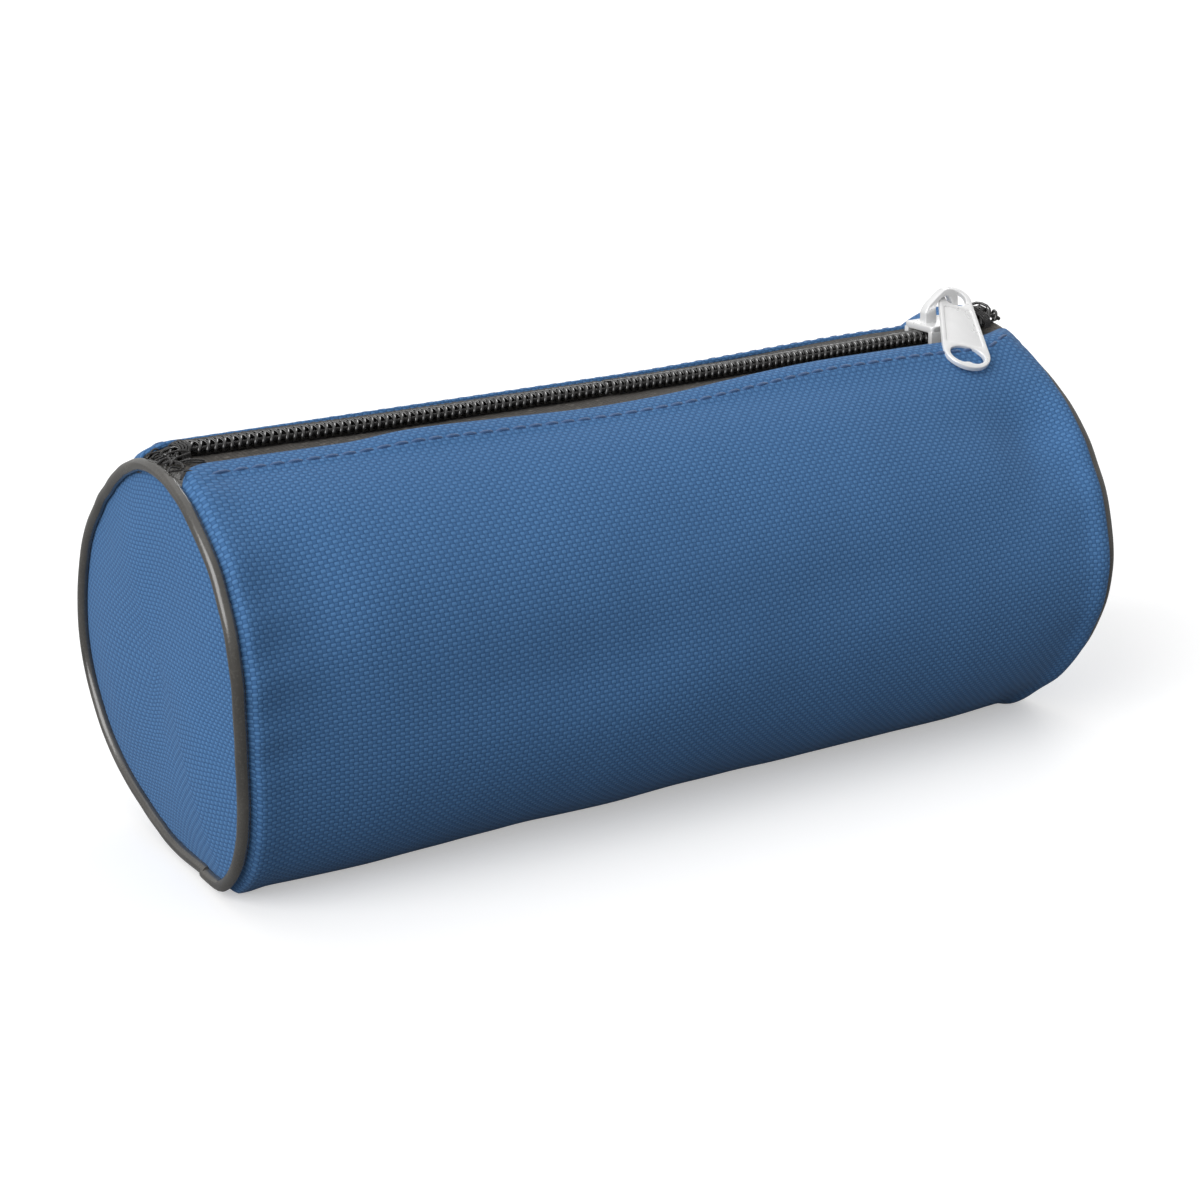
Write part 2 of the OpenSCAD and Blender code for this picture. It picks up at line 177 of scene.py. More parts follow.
def bump_at(value, centre, width):
    return math.exp(-((value - centre) / width) ** 2)


def turn(angle, other):
    """Angle from other to angle, between -pi and pi."""
    return (angle - other + math.pi) % (2 * math.pi) - math.pi


# How each end seam stands out of round: the mean, then a cosine and a sine share for each harmonic of
# the angle from the top; and how far it leans along x per distance across and up
LEFT_SEAM = (0.032, ((-0.028, 0.091), (-0.035, -0.042), (0.013, -0.064), (0.004, 0.028)), (0.064, -0.046))
RIGHT_SEAM = (0.016, ((-0.021, 0.026), (0.040, 0.038), (-0.001, 0.052)), (-0.022, 0.033))


def seam_share(seam, phi):
    """Share by which an end seam stands out of round at angle phi from the top."""
    mean, waves, _ = seam
    return mean + sum(c * math.cos(k * phi) + s * math.sin(k * phi) for k, (c, s) in enumerate(waves, 1))


# (x, angle from the top, width along x, width in angle, depth); a negative depth stands out
DENTS = (
    (84 * MM, math.radians(-52), 9 * MM, math.radians(19), 2.3 * MM),
    (70 * MM, math.radians(-74), 16 * MM, math.radians(15), 1.0 * MM),
    (-84 * MM, math.radians(-62), 9 * MM, math.radians(22), 1.9 * MM),
    (-30 * MM, math.radians(-92), 24 * MM, math.radians(13), 1.1 * MM),
    (25 * MM, math.radians(-84), 20 * MM, math.radians(12), 0.8 * MM),
    (35 * MM, math.radians(70), 30 * MM, math.radians(24), 1.2 * MM),
    (-70 * MM, math.radians(115), 22 * MM, math.radians(22), 1.0 * MM),
    (99 * MM, math.radians(-40), 9 * MM, math.radians(24), -1.4 * MM),
)


def settle(point):
    """Where a point of the round barrel lies on the soft one."""
    y, dz = point.y, point.z - AXIS_Z
    phi = math.atan2(y, dz)
    r = math.hypot(y, dz)
    share = r / BARREL_R
    turned = abs(phi)
    left = smooth((-point.x - 25 * MM) / (73 * MM))
    right = smooth((point.x - 25 * MM) / (73 * MM))
    free_end = smooth((abs(point.x) - 90.5 * MM) / (7 * MM))
    away = 1 - (1 - smooth((turned - math.radians(17)) / math.radians(32))) * (1 - free_end)
    low = smooth((turned - math.radians(80)) / math.radians(55))
    middle = 1 - smooth((abs(point.x) - 60 * MM) / (38 * MM))
    grow = away * (left * seam_share(LEFT_SEAM, phi) + right * seam_share(RIGHT_SEAM, phi)) * r
    grow += share * (cloth().sag * low * (0.4 + 0.6 * middle) - cloth().slack)
    pucker = smooth((turned - math.radians(6)) / math.radians(8))
    pucker *= 1 - smooth((turned - math.radians(20 if y > 0 else 15)) / math.radians(22 if y > 0 else 11))
    start = 6 * MM if y > 0 else -14 * MM
    lift = smooth((point.x - start) / (68 * MM)) * (1 - smooth((point.x - 92 * MM) / (5 * MM)))
    lift_left = smooth((-point.x - 12 * MM) / (36 * MM)) * (1 - smooth((-point.x - 52 * MM) / (14 * MM)))
    grow += (1.35 * lift if y > 0 else 1.7 * lift + 0.8 * lift_left) * MM * pucker
    for x, angle, wide, turned_wide, depth in DENTS:
        grow -= share * away * depth * bump_at(point.x, x, wide) * bump_at(turn(phi, angle), 0, turned_wide)
    soft = noise.noise(Vector((point.x * 26, math.sin(phi) * 1.3, math.cos(phi) * 1.3 + 7)))
    fine = noise.noise(Vector((point.x * 80 + 5, math.sin(phi) * 3.1, math.cos(phi) * 3.1)))
    near_seam = bump_at(abs(point.x), 93 * MM, 6 * MM)
    gather = noise.noise(Vector((math.copysign(3, point.x), math.sin(phi) * 5.5, math.cos(phi) * 5.5)))
    grow += share * away * (0.75 * soft + 0.2 * fine + 0.7 * gather * near_seam) * MM
    lean_left, lean_right = LEFT_SEAM[2], RIGHT_SEAM[2]
    x = point.x + away * (left * (lean_left[0] * y + lean_left[1] * dz)
                          + right * (lean_right[0] * y + lean_right[1] * dz))
    r += grow
    z = AXIS_Z + r * math.cos(phi)
    soft_floor = (1 - share) * BARREL_R + 1.02 * MM
    if z < soft_floor and dz < 0:
        z = soft_floor - 1.0 * MM + 1.0 * MM * math.exp((z - soft_floor) / MM)
    return Vector((x, r * math.sin(phi), z))


def on_barrel(x, phi, r):
    """A point of the round barrel: phi is measured from the top, and is negative at the front."""
    return Vector((x, r * math.sin(phi), AXIS_Z + r * math.cos(phi)))


# The mouth bends between two levels on each side, and along x between two distances from the middle
BEND_LOW = math.radians(59)
BEND_HIGH = math.radians(35)
SPLIT_PHI = math.radians(63)
MOUTH_SHUT = 76 * MM
MOUTH_OPEN = 30 * MM


def bend_points(side):
    return on_barrel(0, side * BEND_LOW, BARREL_R), on_barrel(0, side * BEND_HIGH, BARREL_R)


def open_along(end):
    """Start and end of the bend along x, at one end of the mouth."""
    return Vector((end * MOUTH_SHUT, 0, 0)), Vector((end * MOUTH_OPEN, 0, 0))


def plane_between(first, second):
    """The plane where two bends, each a pair of points, have gone equally far: a point and a normal."""
    (a, b), (c, d) = first, second
    u = (b - a) / (b - a).length_squared
    v = (d - c) / (d - c).length_squared
    normal = u - v
    offset = a.dot(u) - c.dot(v)
    return normal * (offset / normal.length_squared), normal


def gone(bend, point):
    a, b = bend
    return (point - a).dot(b - a) / (b - a).length_squared


# ---------------------------------------------------------------- meshes


def mesh_object(name, mesh, material, sharp=None):
    piece = bpy.data.objects.new(name, mesh)
    bpy.context.scene.collection.objects.link(piece)
    mesh.materials.clear()
    mesh.materials.append(material)
    mesh.shade_smooth()
    if sharp is not None:
        mesh.set_sharp_from_angle(angle=math.radians(sharp))
    return piece


def finish_bmesh(name, bm, material, sharp=None, settled=False):
    if settled:
        for vert in bm.verts:
            vert.co = settle(vert.co)
    mesh = bpy.data.meshes.new(name)
    bm.to_mesh(mesh)
    bm.free()
    return mesh_object(name, mesh, material, sharp)


def woven_grid(columns, rows, place):
    """A grid of columns by rows vertices. place(column, row) gives a vertex's point and its flat place."""
    bm = bmesh.new()
    bmesh.ops.create_grid(bm, x_segments=columns - 1, y_segments=rows - 1, size=1)
    uv = bm.loops.layers.uv.new(WEAVE)
    flat = {}
    for vert in bm.verts:
        column = round((vert.co.x + 1) / 2 * (columns - 1))
        row = round((vert.co.y + 1) / 2 * (rows - 1))
        vert.co, flat[vert] = place(column, row)
    for face in bm.faces:
        for loop in face.loops:
            loop[uv].uv = flat[loop.vert]
    return bm


def face_outwards(bm, outward):
    """Turns an open sheet so that its faces look along outward(point)."""
    bm.normal_update()
    total = sum(face.normal.dot(outward(face.calc_center_median())) * face.calc_area() for face in bm.faces)
    if total < 0:
        bmesh.ops.reverse_faces(bm, faces=bm.faces[:])
    bm.normal_update()


def thicken(bm, thickness):
    """Gives an open sheet its thickness, on the side that its faces look away from."""
    bmesh.ops.solidify(bm, geom=bm.faces[:], thickness=thickness)


def tubes(name, paths, radius, sides, material):
    """Round strands along paths of points, as one mesh."""
    curve = bpy.data.curves.new(name, "CURVE")
    curve.dimensions = "3D"
    curve.bevel_depth = radius
    curve.bevel_resolution = max(0, (sides - 4) // 2)
    curve.use_fill_caps = True
    for path in paths:
        spline = curve.splines.new("POLY")
        spline.points.add(len(path) - 1)
        for dot, point in zip(spline.points, path):
            dot.co = (*point, 1)
    carrier = bpy.data.objects.new(name, curve)
    bpy.context.scene.collection.objects.link(carrier)
    bpy.context.view_layer.update()
    mesh = bpy.data.meshes.new_from_object(carrier.evaluated_get(bpy.context.evaluated_depsgraph_get()))
    bpy.data.objects.remove(carrier)
    mesh.name = name
    return mesh_object(name, mesh, material)


def spun(profile, end, steps=168):
    """A profile of (distance from the middle, radius) turned about the barrel's axis."""
    bm = bmesh.new()
    verts = [bm.verts.new((end * x, 0, AXIS_Z + r)) for x, r in profile]
    edges = [bm.edges.new(pair) for pair in zip(verts, verts[1:])]
    bmesh.ops.spin(bm, geom=verts + edges, cent=(0, 0, AXIS_Z), axis=(1, 0, 0), angle=2 * math.pi,
                   steps=steps, use_merge=True, use_normal_flip=False)
    bmesh.ops.remove_doubles(bm, verts=bm.verts[:], dist=1e-6)
    return bm


# ---------------------------------------------------------------- materials


class Nodes:
    """Short calls for building one material's nodes."""

    def __init__(self, name):
        self.material = bpy.data.materials.new(name)
        self.material.use_nodes = True
        self.tree = self.material.node_tree
        self.shader = self.tree.nodes["Principled BSDF"]

    def put(self, socket, value):
        if isinstance(value, bpy.types.NodeSocket):
            self.tree.links.new(value, socket)
        else:
            socket.default_value = value

    def math(self, operation, *values):
        node = self.tree.nodes.new("ShaderNodeMath")
        node.operation = operation
        for socket, value in zip(node.inputs, values):
            self.put(socket, value)
        return node.outputs[0]

    def mix(self, share, first, second):
        node = self.tree.nodes.new("ShaderNodeMix")
        node.data_type = "RGBA"
        self.put(node.inputs["Factor"], share)
        for index, value in ((6, first), (7, second)):
            self.put(node.inputs[index], value if isinstance(value, bpy.types.NodeSocket) else (*value, 1))
        return node.outputs[2]

    def ramp(self, value, low, high, to_low=0.0, to_high=1.0):
        node = self.tree.nodes.new("ShaderNodeMapRange")
        for socket, number in zip(node.inputs[:5], (value, low, high, to_low, to_high)):
            self.put(socket, number)
        return node.outputs[0]

    def place(self):
        return self.tree.nodes.new("ShaderNodeTexCoord").outputs["Object"]

    def flat_place(self):
        node = self.tree.nodes.new("ShaderNodeUVMap")
        node.uv_map = WEAVE
        return node.outputs[0]

    def noise(self, place, scale, detail=2.0, roughness=0.5):
        node = self.tree.nodes.new("ShaderNodeTexNoise")
        self.put(node.inputs["Vector"], place)
        node.inputs["Scale"].default_value = scale
        node.inputs["Detail"].default_value = detail
        node.inputs["Roughness"].default_value = roughness
        return node.outputs["Fac"]

    def parts(self, vector):
        node = self.tree.nodes.new("ShaderNodeSeparateXYZ")
        self.put(node.inputs[0], vector)
        return node.outputs

    def bump(self, height, distance, strength=1.0, under=None):
        node = self.tree.nodes.new("ShaderNodeBump")
        node.inputs["Strength"].default_value = strength
        node.inputs["Distance"].default_value = distance
        self.put(node.inputs["Height"], height)
        if under is not None:
            self.put(node.inputs["Normal"], under)
        return node.outputs[0]

    def finish(self, **values):
        for name, value in values.items():
            self.put(self.shader.inputs[name.replace("_", " ")], value)
        return self.material


def plain_weave(nodes, along, across, pitch_along, pitch_across):
    """Height of a plain weave from 0 to 1, and which set of threads is on top at a place (0 or 1)."""
    u = nodes.math("DIVIDE", along, pitch_along)
    v = nodes.math("DIVIDE", across, pitch_across)
    cell = nodes.math("ADD", nodes.math("FLOOR", u), nodes.math("FLOOR", v))
    over = nodes.math("FLOORED_MODULO", cell, 2.0)
    wave_u = nodes.math("SINE", nodes.math("MULTIPLY", nodes.math("FRACT", u), math.pi))
    wave_v = nodes.math("SINE", nodes.math("MULTIPLY", nodes.math("FRACT", v), math.pi))
    along_thread = nodes.math("MULTIPLY", nodes.math("POWER", wave_v, 0.9),
                              nodes.math("MULTIPLY_ADD", wave_u, 0.45, 0.55))
    across_thread = nodes.math("MULTIPLY", nodes.math("POWER", wave_u, 0.7),
                               nodes.math("MULTIPLY_ADD", wave_v, 0.5, 0.32))
    height = nodes.math("ADD", nodes.math("MULTIPLY", along_thread, nodes.math("SUBTRACT", 1.0, over)),
                        nodes.math("MULTIPLY", across_thread, over))
    return height, over


def cloth_material(name):
    """Polyester cloth: plain weave with lighter threads one way, painted shade where the weave is low, slight
    unevenness and lint.
    """
    n = Nodes(name)
    c = colours()
    pitch = cloth().weave_pitch
    flat = n.parts(n.flat_place())
    place = n.place()
    wander = n.ramp(n.noise(place, 180.0, 2.0), 0, 1, -0.11 * pitch, 0.11 * pitch)
    along = n.math("ADD", flat[0], wander)
    across = n.math("ADD", flat[1], n.ramp(n.noise(place, 140.0, 2.0), 0, 1, -0.11 * pitch, 0.11 * pitch))
    height, over = plain_weave(n, along, across, pitch * 1.01, pitch * 0.95)
    tone = n.noise(place, 34.0, 3.0)
    lint = n.noise(place, 900.0, 2.0, 0.7)
    thread = n.mix(over, tuple(c.cloth_light), tuple(c.cloth_dark))
    # Where the weave is low the threads turn towards the gap colour: painted shade between the threads
    shade = n.mix(n.ramp(height, 0.0, 0.55, 0.25, 1.0), tuple(c.cloth_gap_shade), thread)
    shade = n.mix(n.ramp(tone, 0.3, 0.7, 0.0, 0.16), shade, tuple(c.cloth_dark))
    shade = n.mix(n.ramp(lint, 0.45, 0.8, 0.0, 0.22), shade, tuple(c.cloth_light))
    fuzz = n.bump(lint, 0.06 * MM, 0.5)
    return n.finish(Base_Color=shade, Roughness=0.82, Specular_IOR_Level=0.16, Sheen_Weight=0.06,
                    Sheen_Roughness=0.4, Normal=n.bump(height, 0.13 * MM, 0.7, fuzz))


def vinyl_material(name):
    """Piping vinyl: semi-gloss with a fine leather grain and faint scuffs."""
    n = Nodes(name)
    place = n.place()
    grain = n.noise(place, 1900.0, 3.0, 0.6)
    pores = n.noise(place, 620.0, 2.0, 0.6)
    worn = n.noise(place, 70.0, 3.0)
    base = tuple(colours().vinyl)
    lighter = tuple(1.75 * value for value in base)
    shade = n.mix(n.ramp(worn, 0.35, 0.75), base, lighter)
    shade = n.mix(n.ramp(grain, 0.52, 0.75, 0.0, 0.45), shade, tuple(2.6 * value for value in base))
    height = n.math("ADD", grain, n.math("MULTIPLY", pores, 0.7))
    return n.finish(Base_Color=shade, Roughness=n.ramp(worn, 0.3, 0.8, 0.17, 0.36),
                    Specular_IOR_Level=0.8, Coat_Weight=0.5, Coat_Roughness=0.14,
                    Normal=n.bump(height, 0.06 * MM, 0.7))


def tape_material(name, pitch):
    """Zip tape: a close warp-faced weave with painted shade where the weave is low, and small light flecks.
    """
    n = Nodes(name)
    base = tuple(colours().tape)
    flat = n.parts(n.flat_place())
    place = n.place()
    slanted = n.math("ADD", flat[1], n.math("MULTIPLY", flat[0], 0.55))
    wander = n.ramp(n.noise(place, 420.0), 0, 1, -0.3 * pitch, 0.3 * pitch)
    height, _ = plain_weave(n, n.math("ADD", flat[0], wander), slanted, pitch * 1.5, pitch * 0.8)
    fleck = n.noise(place, 800.0, 2.0, 0.7)
    # Darker where the weave is low: painted shade between the threads
    shade = n.mix(n.ramp(height, 0.05, 0.7), tuple(0.22 * v for v in base), base)
    shade = n.mix(n.ramp(fleck, 0.55, 0.75, 0.0, 0.6), shade, tuple(3.2 * v for v in base))
    return n.finish(Base_Color=shade, Roughness=0.72, Specular_IOR_Level=0.35,
                    Normal=n.bump(height, 0.12 * MM, 0.9, n.bump(fleck, 0.05 * MM, 0.5)))


def filament_material(name):
    """Nylon filament of the coil: dark, smooth and shiny, a little scratched."""
    n = Nodes(name)
    place = n.place()
    base = tuple(colours().coil)
    rub = n.noise(place, 700.0, 3.0, 0.6)
    shade = n.mix(n.ramp(rub, 0.45, 0.8, 0.0, 0.6), base, tuple(3.0 * v for v in base))
    return n.finish(Base_Color=shade, Roughness=n.ramp(rub, 0.3, 0.8, 0.12, 0.3), Specular_IOR_Level=1.0,
                    Normal=n.bump(rub, 0.03 * MM, 0.4))


def thread_material(name, base, sheen=0.2):
    """Spun thread: fine slanting plies, with painted light and shade that make their ridges lighter than
    their grooves.
    """
    n = Nodes(name)
    parts = n.parts(n.place())
    slant = n.math("ADD", parts[0], n.math("ADD", parts[1], parts[2]))
    plies = n.math("SINE", n.math("MULTIPLY", slant, 2 * math.pi / (0.42 * MM)))
    fuzz = n.noise(n.place(), 2200.0, 2.0)
    # Lighter on the ply ridges than in the grooves: painted light and shade on the plies
    shade = n.mix(n.ramp(plies, -1, 1, 0.0, 0.7), base, tuple(min(1, 1.9 * v) for v in base))
    return n.finish(Base_Color=shade, Roughness=0.7, Sheen_Weight=sheen,
                    Normal=n.bump(plies, 0.05 * MM, 0.7, n.bump(fuzz, 0.03 * MM, 0.4)))


def metal_material(name):
    """Pale plating with a satin, slightly orange-peeled surface."""
    n = Nodes(name)
    place = n.place()
    cast = n.noise(place, 260.0, 3.0, 0.55)
    fine = n.noise(place, 2600.0, 2.0, 0.6)
    base = tuple(colours().metal)
    shade = n.mix(n.ramp(cast, 0.35, 0.7, 0.0, 0.35), base, tuple(0.86 * v for v in base))
    return n.finish(Base_Color=shade, Metallic=0.35, Roughness=n.ramp(cast, 0.3, 0.7, 0.26, 0.4),
                    Specular_IOR_Level=0.6,
                    Normal=n.bump(fine, 0.02 * MM, 0.25, n.bump(cast, 0.1 * MM, 0.18)))


def shared_material(name, make, *values):
    """The material of that name, made by make(name, *values) the first time."""
    return bpy.data.materials.get(name) or make(name, *values)


def barrel_cloth_material():
    return shared_material("barrel cloth", cloth_material)


def piping_vinyl():
    return shared_material("piping vinyl", vinyl_material)


def coil_filament():
    return shared_material("coil filament", filament_material)


def blue_thread():
    return shared_material("blue thread", thread_material, tuple(colours().thread))


def black_thread():
    return shared_material("black thread", thread_material, (0.012, 0.011, 0.011))


def white_cord():
    return shared_material("filler cord", thread_material, (0.42, 0.41, 0.37))


# ---------------------------------------------------------------- stage


class CASE_OT_stage(bpy.types.Operator):
    """Adds the floor, the soft studio light and the camera."""
    bl_idname = "case.stage"
    bl_label = "Stage"

    def execute(self, context):
        self.add_camera(context)
        self.add_floor()
        self.add_lights(context)
        return {"FINISHED"}

    def add_camera(self, context):
        azimuth, elevation = math.radians(-32.96), math.radians(16.75)
        distance, roll = 546.5 * MM, math.radians(-0.46)
        back = Vector((math.sin(azimuth) * math.cos(elevation), -math.cos(azimuth) * math.cos(elevation),
                       math.sin(elevation)))
        right = (-back).cross(Vector((0, 0, 1))).normalized()
        up = right.cross(-back)
        rolled_right = math.cos(roll) * right + math.sin(roll) * up
        rolled_up = math.cos(roll) * up - math.sin(roll) * right
        camera = bpy.data.objects.new("camera", bpy.data.cameras.new("camera"))
        camera.data.lens = 80.2
        camera.data.sensor_width = 36
        camera.data.shift_x = -0.0125
        camera.data.shift_y = -0.0182
        camera.data.clip_start = 0.01
        turned = Matrix((rolled_right, rolled_up, back)).transposed()
        camera.matrix_world = Matrix.Translation(Vector((0, 0, AXIS_Z)) + back * distance) @ turned.to_4x4()
        context.scene.collection.objects.link(camera)
        context.scene.camera = camera

    def add_floor(self):
        """A white floor that throws little light back up, as between dark screens."""
        bm = bmesh.new()
        bmesh.ops.create_grid(bm, x_segments=1, y_segments=1, size=8)
        n = Nodes("studio floor")
        seen = n.tree.nodes.new("ShaderNodeLightPath").outputs["Is Camera Ray"]
        material = n.finish(Base_Color=n.mix(seen, (0.25, 0.25, 0.25), (0.72, 0.72, 0.72)), Roughness=0.9,
                            Specular_IOR_Level=0.1, Emission_Color=(1, 1, 1, 1),
                            Emission_Strength=n.math("MULTIPLY", seen, 0.40))
        finish_bmesh("floor", bm, material)

    def add_lights(self, context):
        world = bpy.data.worlds.new("studio")
        world.use_nodes = True
        world.node_tree.nodes["Background"].inputs["Color"].default_value = (1, 1, 1, 1)
        world.node_tree.nodes["Background"].inputs["Strength"].default_value = 0.50
        context.scene.world = world
        context.scene.view_settings.view_transform = "Standard"
        for name, towards, spread, strength in (
            ("left window", (-0.85, -0.22, 0.50), 55, 2.5),
            ("top panel", (0.05, 0.25, 1.00), 70, 0.45),
            ("rim light", (0.70, 0.64, 0.48), 24, 0.5),
        ):
            lamp = bpy.data.lights.new(name, "SUN")
            lamp.angle = math.radians(spread)
            lamp.energy = strength
            light = bpy.data.objects.new(name, lamp)
            light.rotation_euler = Vector(towards).to_track_quat("Z", "Y").to_euler()
            context.scene.collection.objects.link(light)


# ---------------------------------------------------------------- barrel cloth


def hem_angle(x, side):
    """Angle from the top to a hem's edge. The hem turns down round a corner at the left end."""
    gap = cloth().hem_gap
    if side == FRONT:
        gap += 0.8 * MM * bump_at(x, 0, 38 * MM) - 0.8 * MM * smooth(abs(x) / (70 * MM))
        gap -= 1.5 * MM * bump_at(x, 40 * MM, 34 * MM)
    angle = math.asin(gap / BARREL_R)
    corner = min(1.0, max(0.0, (-x - 90.5 * MM) / (LEFT_CLOTH_END - 90.5 * MM)))
    angle += math.radians(9.8 if side == FRONT else 2.5) * (1 - math.sqrt(1 - corner * corner))
    angle -= math.radians(5.5) * smooth((x - 85 * MM) / (12 * MM))
    return angle + math.radians(0.35) * noise.noise(Vector((x * 55, side * 3.0, 0.5)))


def seam_tuck(x):
    """How far the cloth is drawn in where it meets the piping, past a slight swell."""
    stop = cloth_end(x)
    swell = (0.9 if x > 0 else 0.3) * MM * bump_at(abs(x), stop - 3.6 * MM, 2.6 * MM)
    return 2.0 * MM * smooth((abs(x) - stop + 2.6 * MM) / (2.6 * MM)) ** 1.5 - swell


def cloth_end(x):
    """Distance from the middle to the cloth's edge, at the end that x is nearer to."""
    return RIGHT_CLOTH_END if x > 0 else LEFT_CLOTH_END


HEM_TURN_R = 0.6 * MM
UNDER_ROWS = 4
TURN_ROWS = 8
NEAR_ROWS = 16
NEAR_STEP = 0.5 * MM
FAR_ROWS = 19
COLUMNS = 200
LEFT_CLOTH_END, RIGHT_CLOTH_END = HALF_L - 2.3 * MM, HALF_L - 1.5 * MM


def hemmed_profile(x, side, row):
    """Point of a hemmed edge and its flat distance from the bottom, from the folded edge's inner end
    (row 0) round the fold and down to SPLIT_PHI (the last row)."""
    sizes = cloth()
    edge = hem_angle(x, side)
    centre = edge + HEM_TURN_R / BARREL_R
    top_r = BARREL_R + sizes.hem_rise
    under_r = top_r - 2 * HEM_TURN_R
    tuck = seam_tuck(x)
    turn_length = math.pi * HEM_TURN_R
    edge_flat = (math.pi - centre) * BARREL_R
    if row < UNDER_ROWS:
        back = sizes.hem_width * (1 - row / UNDER_ROWS)
        return on_barrel(x, side * (centre + back / BARREL_R), under_r - tuck), edge_flat + turn_length + back
    if row < UNDER_ROWS + TURN_ROWS:
        part = (row - UNDER_ROWS) / TURN_ROWS
        beta = math.pi * part
        r = top_r - HEM_TURN_R - HEM_TURN_R * math.cos(beta) - tuck
        phi = centre - HEM_TURN_R * math.sin(beta) / BARREL_R
        return on_barrel(x, side * phi, r), edge_flat + turn_length * (1 - part)
    step = row - UNDER_ROWS - TURN_ROWS
    near = NEAR_ROWS * NEAR_STEP
    if step <= NEAR_ROWS:
        out = step * NEAR_STEP
    else:
        room = (SPLIT_PHI - centre) * BARREL_R - near
        out = near + room * (step - NEAR_ROWS) / FAR_ROWS
    rise = sizes.hem_rise * (1 - smooth((out - 3.9 * MM) / (1.6 * MM)))
    line = bump_at(out, sizes.stitch_in, 0.55 * MM)
    phase = math.cos(2 * math.pi * x / sizes.stitch_pitch)
    dimple = line * (0.17 + 0.07 * phase) * MM
    pucker = 0.06 * MM * phase * bump_at(out, sizes.stitch_in + 0.8 * MM, 1.4 * MM)
    r = BARREL_R + rise - dimple + pucker - tuck
    return on_barrel(x, side * (centre + out / BARREL_R), r), edge_flat - out


def column_x(column, columns=COLUMNS):
    """Columns lie closer together near the seams."""
    part = 2 * column / (columns - 1) - 1
    return cloth_end(part) * (1.35 * part - 0.35 * part ** 3)


def hemmed_sheet(side):
    rows = UNDER_ROWS + TURN_ROWS + NEAR_ROWS + FAR_ROWS + 1

    def place(column, row):
        x = column_x(column)
        point, distance = hemmed_profile(x, side, row)
        return settle(point), Vector((x, side * distance))

    bm = woven_grid(COLUMNS, rows, place)
    face_outwards(bm, lambda p: Vector((0, p.y, p.z - AXIS_Z)))
    return bm


def lower_sheet():
    rows = 118

    def place(column, row):
        x = column_x(column)
        phi = SPLIT_PHI + (2 * math.pi - 2 * SPLIT_PHI) * row / (rows - 1)
        point = on_barrel(x, phi, BARREL_R - seam_tuck(x))
        return settle(point), Vector((x, (math.pi - phi) * BARREL_R))

    bm = woven_grid(COLUMNS, rows, place)
    face_outwards(bm, lambda p: Vector((0, p.y, p.z - AXIS_Z)))
    return bm


def cut_at(bm, plane):
    point, normal = plane
    bmesh.ops.bisect_plane(bm, geom=bm.verts[:] + bm.edges[:] + bm.faces[:], dist=1e-7, plane_co=point,
                           plane_no=normal)


def keep_faces(bm, wanted):
    part = bm.copy()
    gone_faces = [face for face in part.faces if not wanted(face.calc_center_median())]
    bmesh.ops.delete(part, geom=gone_faces, context="FACES")
    return part


class CASE_OT_barrel(bpy.types.Operator):
    """Makes the barrel cloth: the fixed shell and the two sides of the mouth, cut where they bend."""
    bl_idname = "case.barrel"
    bl_label = "Barrel cloth"

    def execute(self, context):
        shell = self.add(lower_sheet(), "barrel_cloth")
        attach(shell, "case")
        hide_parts("barrel_panel")
        for side in (FRONT, BACK):
            self.add_mouth_side(side)
        return {"FINISHED"}

    def add(self, bm, name):
        thicken(bm, cloth().thickness)
        piece = finish_bmesh(name, bm, barrel_cloth_material(), sharp=50)
        return piece

    def add_mouth_side(self, side):
        rise = bend_points(side)
        bends = {end: open_along(end) for end in (LEFT, RIGHT)}
        sheet = hemmed_sheet(side)
        for end in (LEFT, RIGHT):
            cut_at(sheet, plane_between(rise, bends[end]))
        cut_at(sheet, (rise[1], rise[1] - rise[0]))
        cut_at(sheet, (Vector((0, 0, 0)), Vector((1, 0, 0))))

        def in_middle(p):
            level = gone(rise, p)
            return level < min(1, gone(bends[LEFT], p), gone(bends[RIGHT], p)) and p.z > AXIS_Z

        middle = self.add(keep_faces(sheet, in_middle), f"{SIDE_NAME[side]}_mouth_fold")
        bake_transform(middle)
        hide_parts(f"{SIDE_NAME[side]}_lip_panel")
        for end in (LEFT, RIGHT):
            part = keep_faces(sheet, lambda p, e=end: p.x * e > 0 and not in_middle(p))
            piece = self.add(part, f"{SIDE_NAME[side]}_hem_{END_NAME[end]}")
            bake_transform(piece)
        sheet.free()


# ---------------------------------------------------------------- end panels and piping


RING_R = AXIS_Z - 1.5 * MM
RING_X = HALF_L - 1.5 * MM
PIPING_FILLER_R = 0.85 * MM
SEAM_THREAD_R = 0.25 * MM


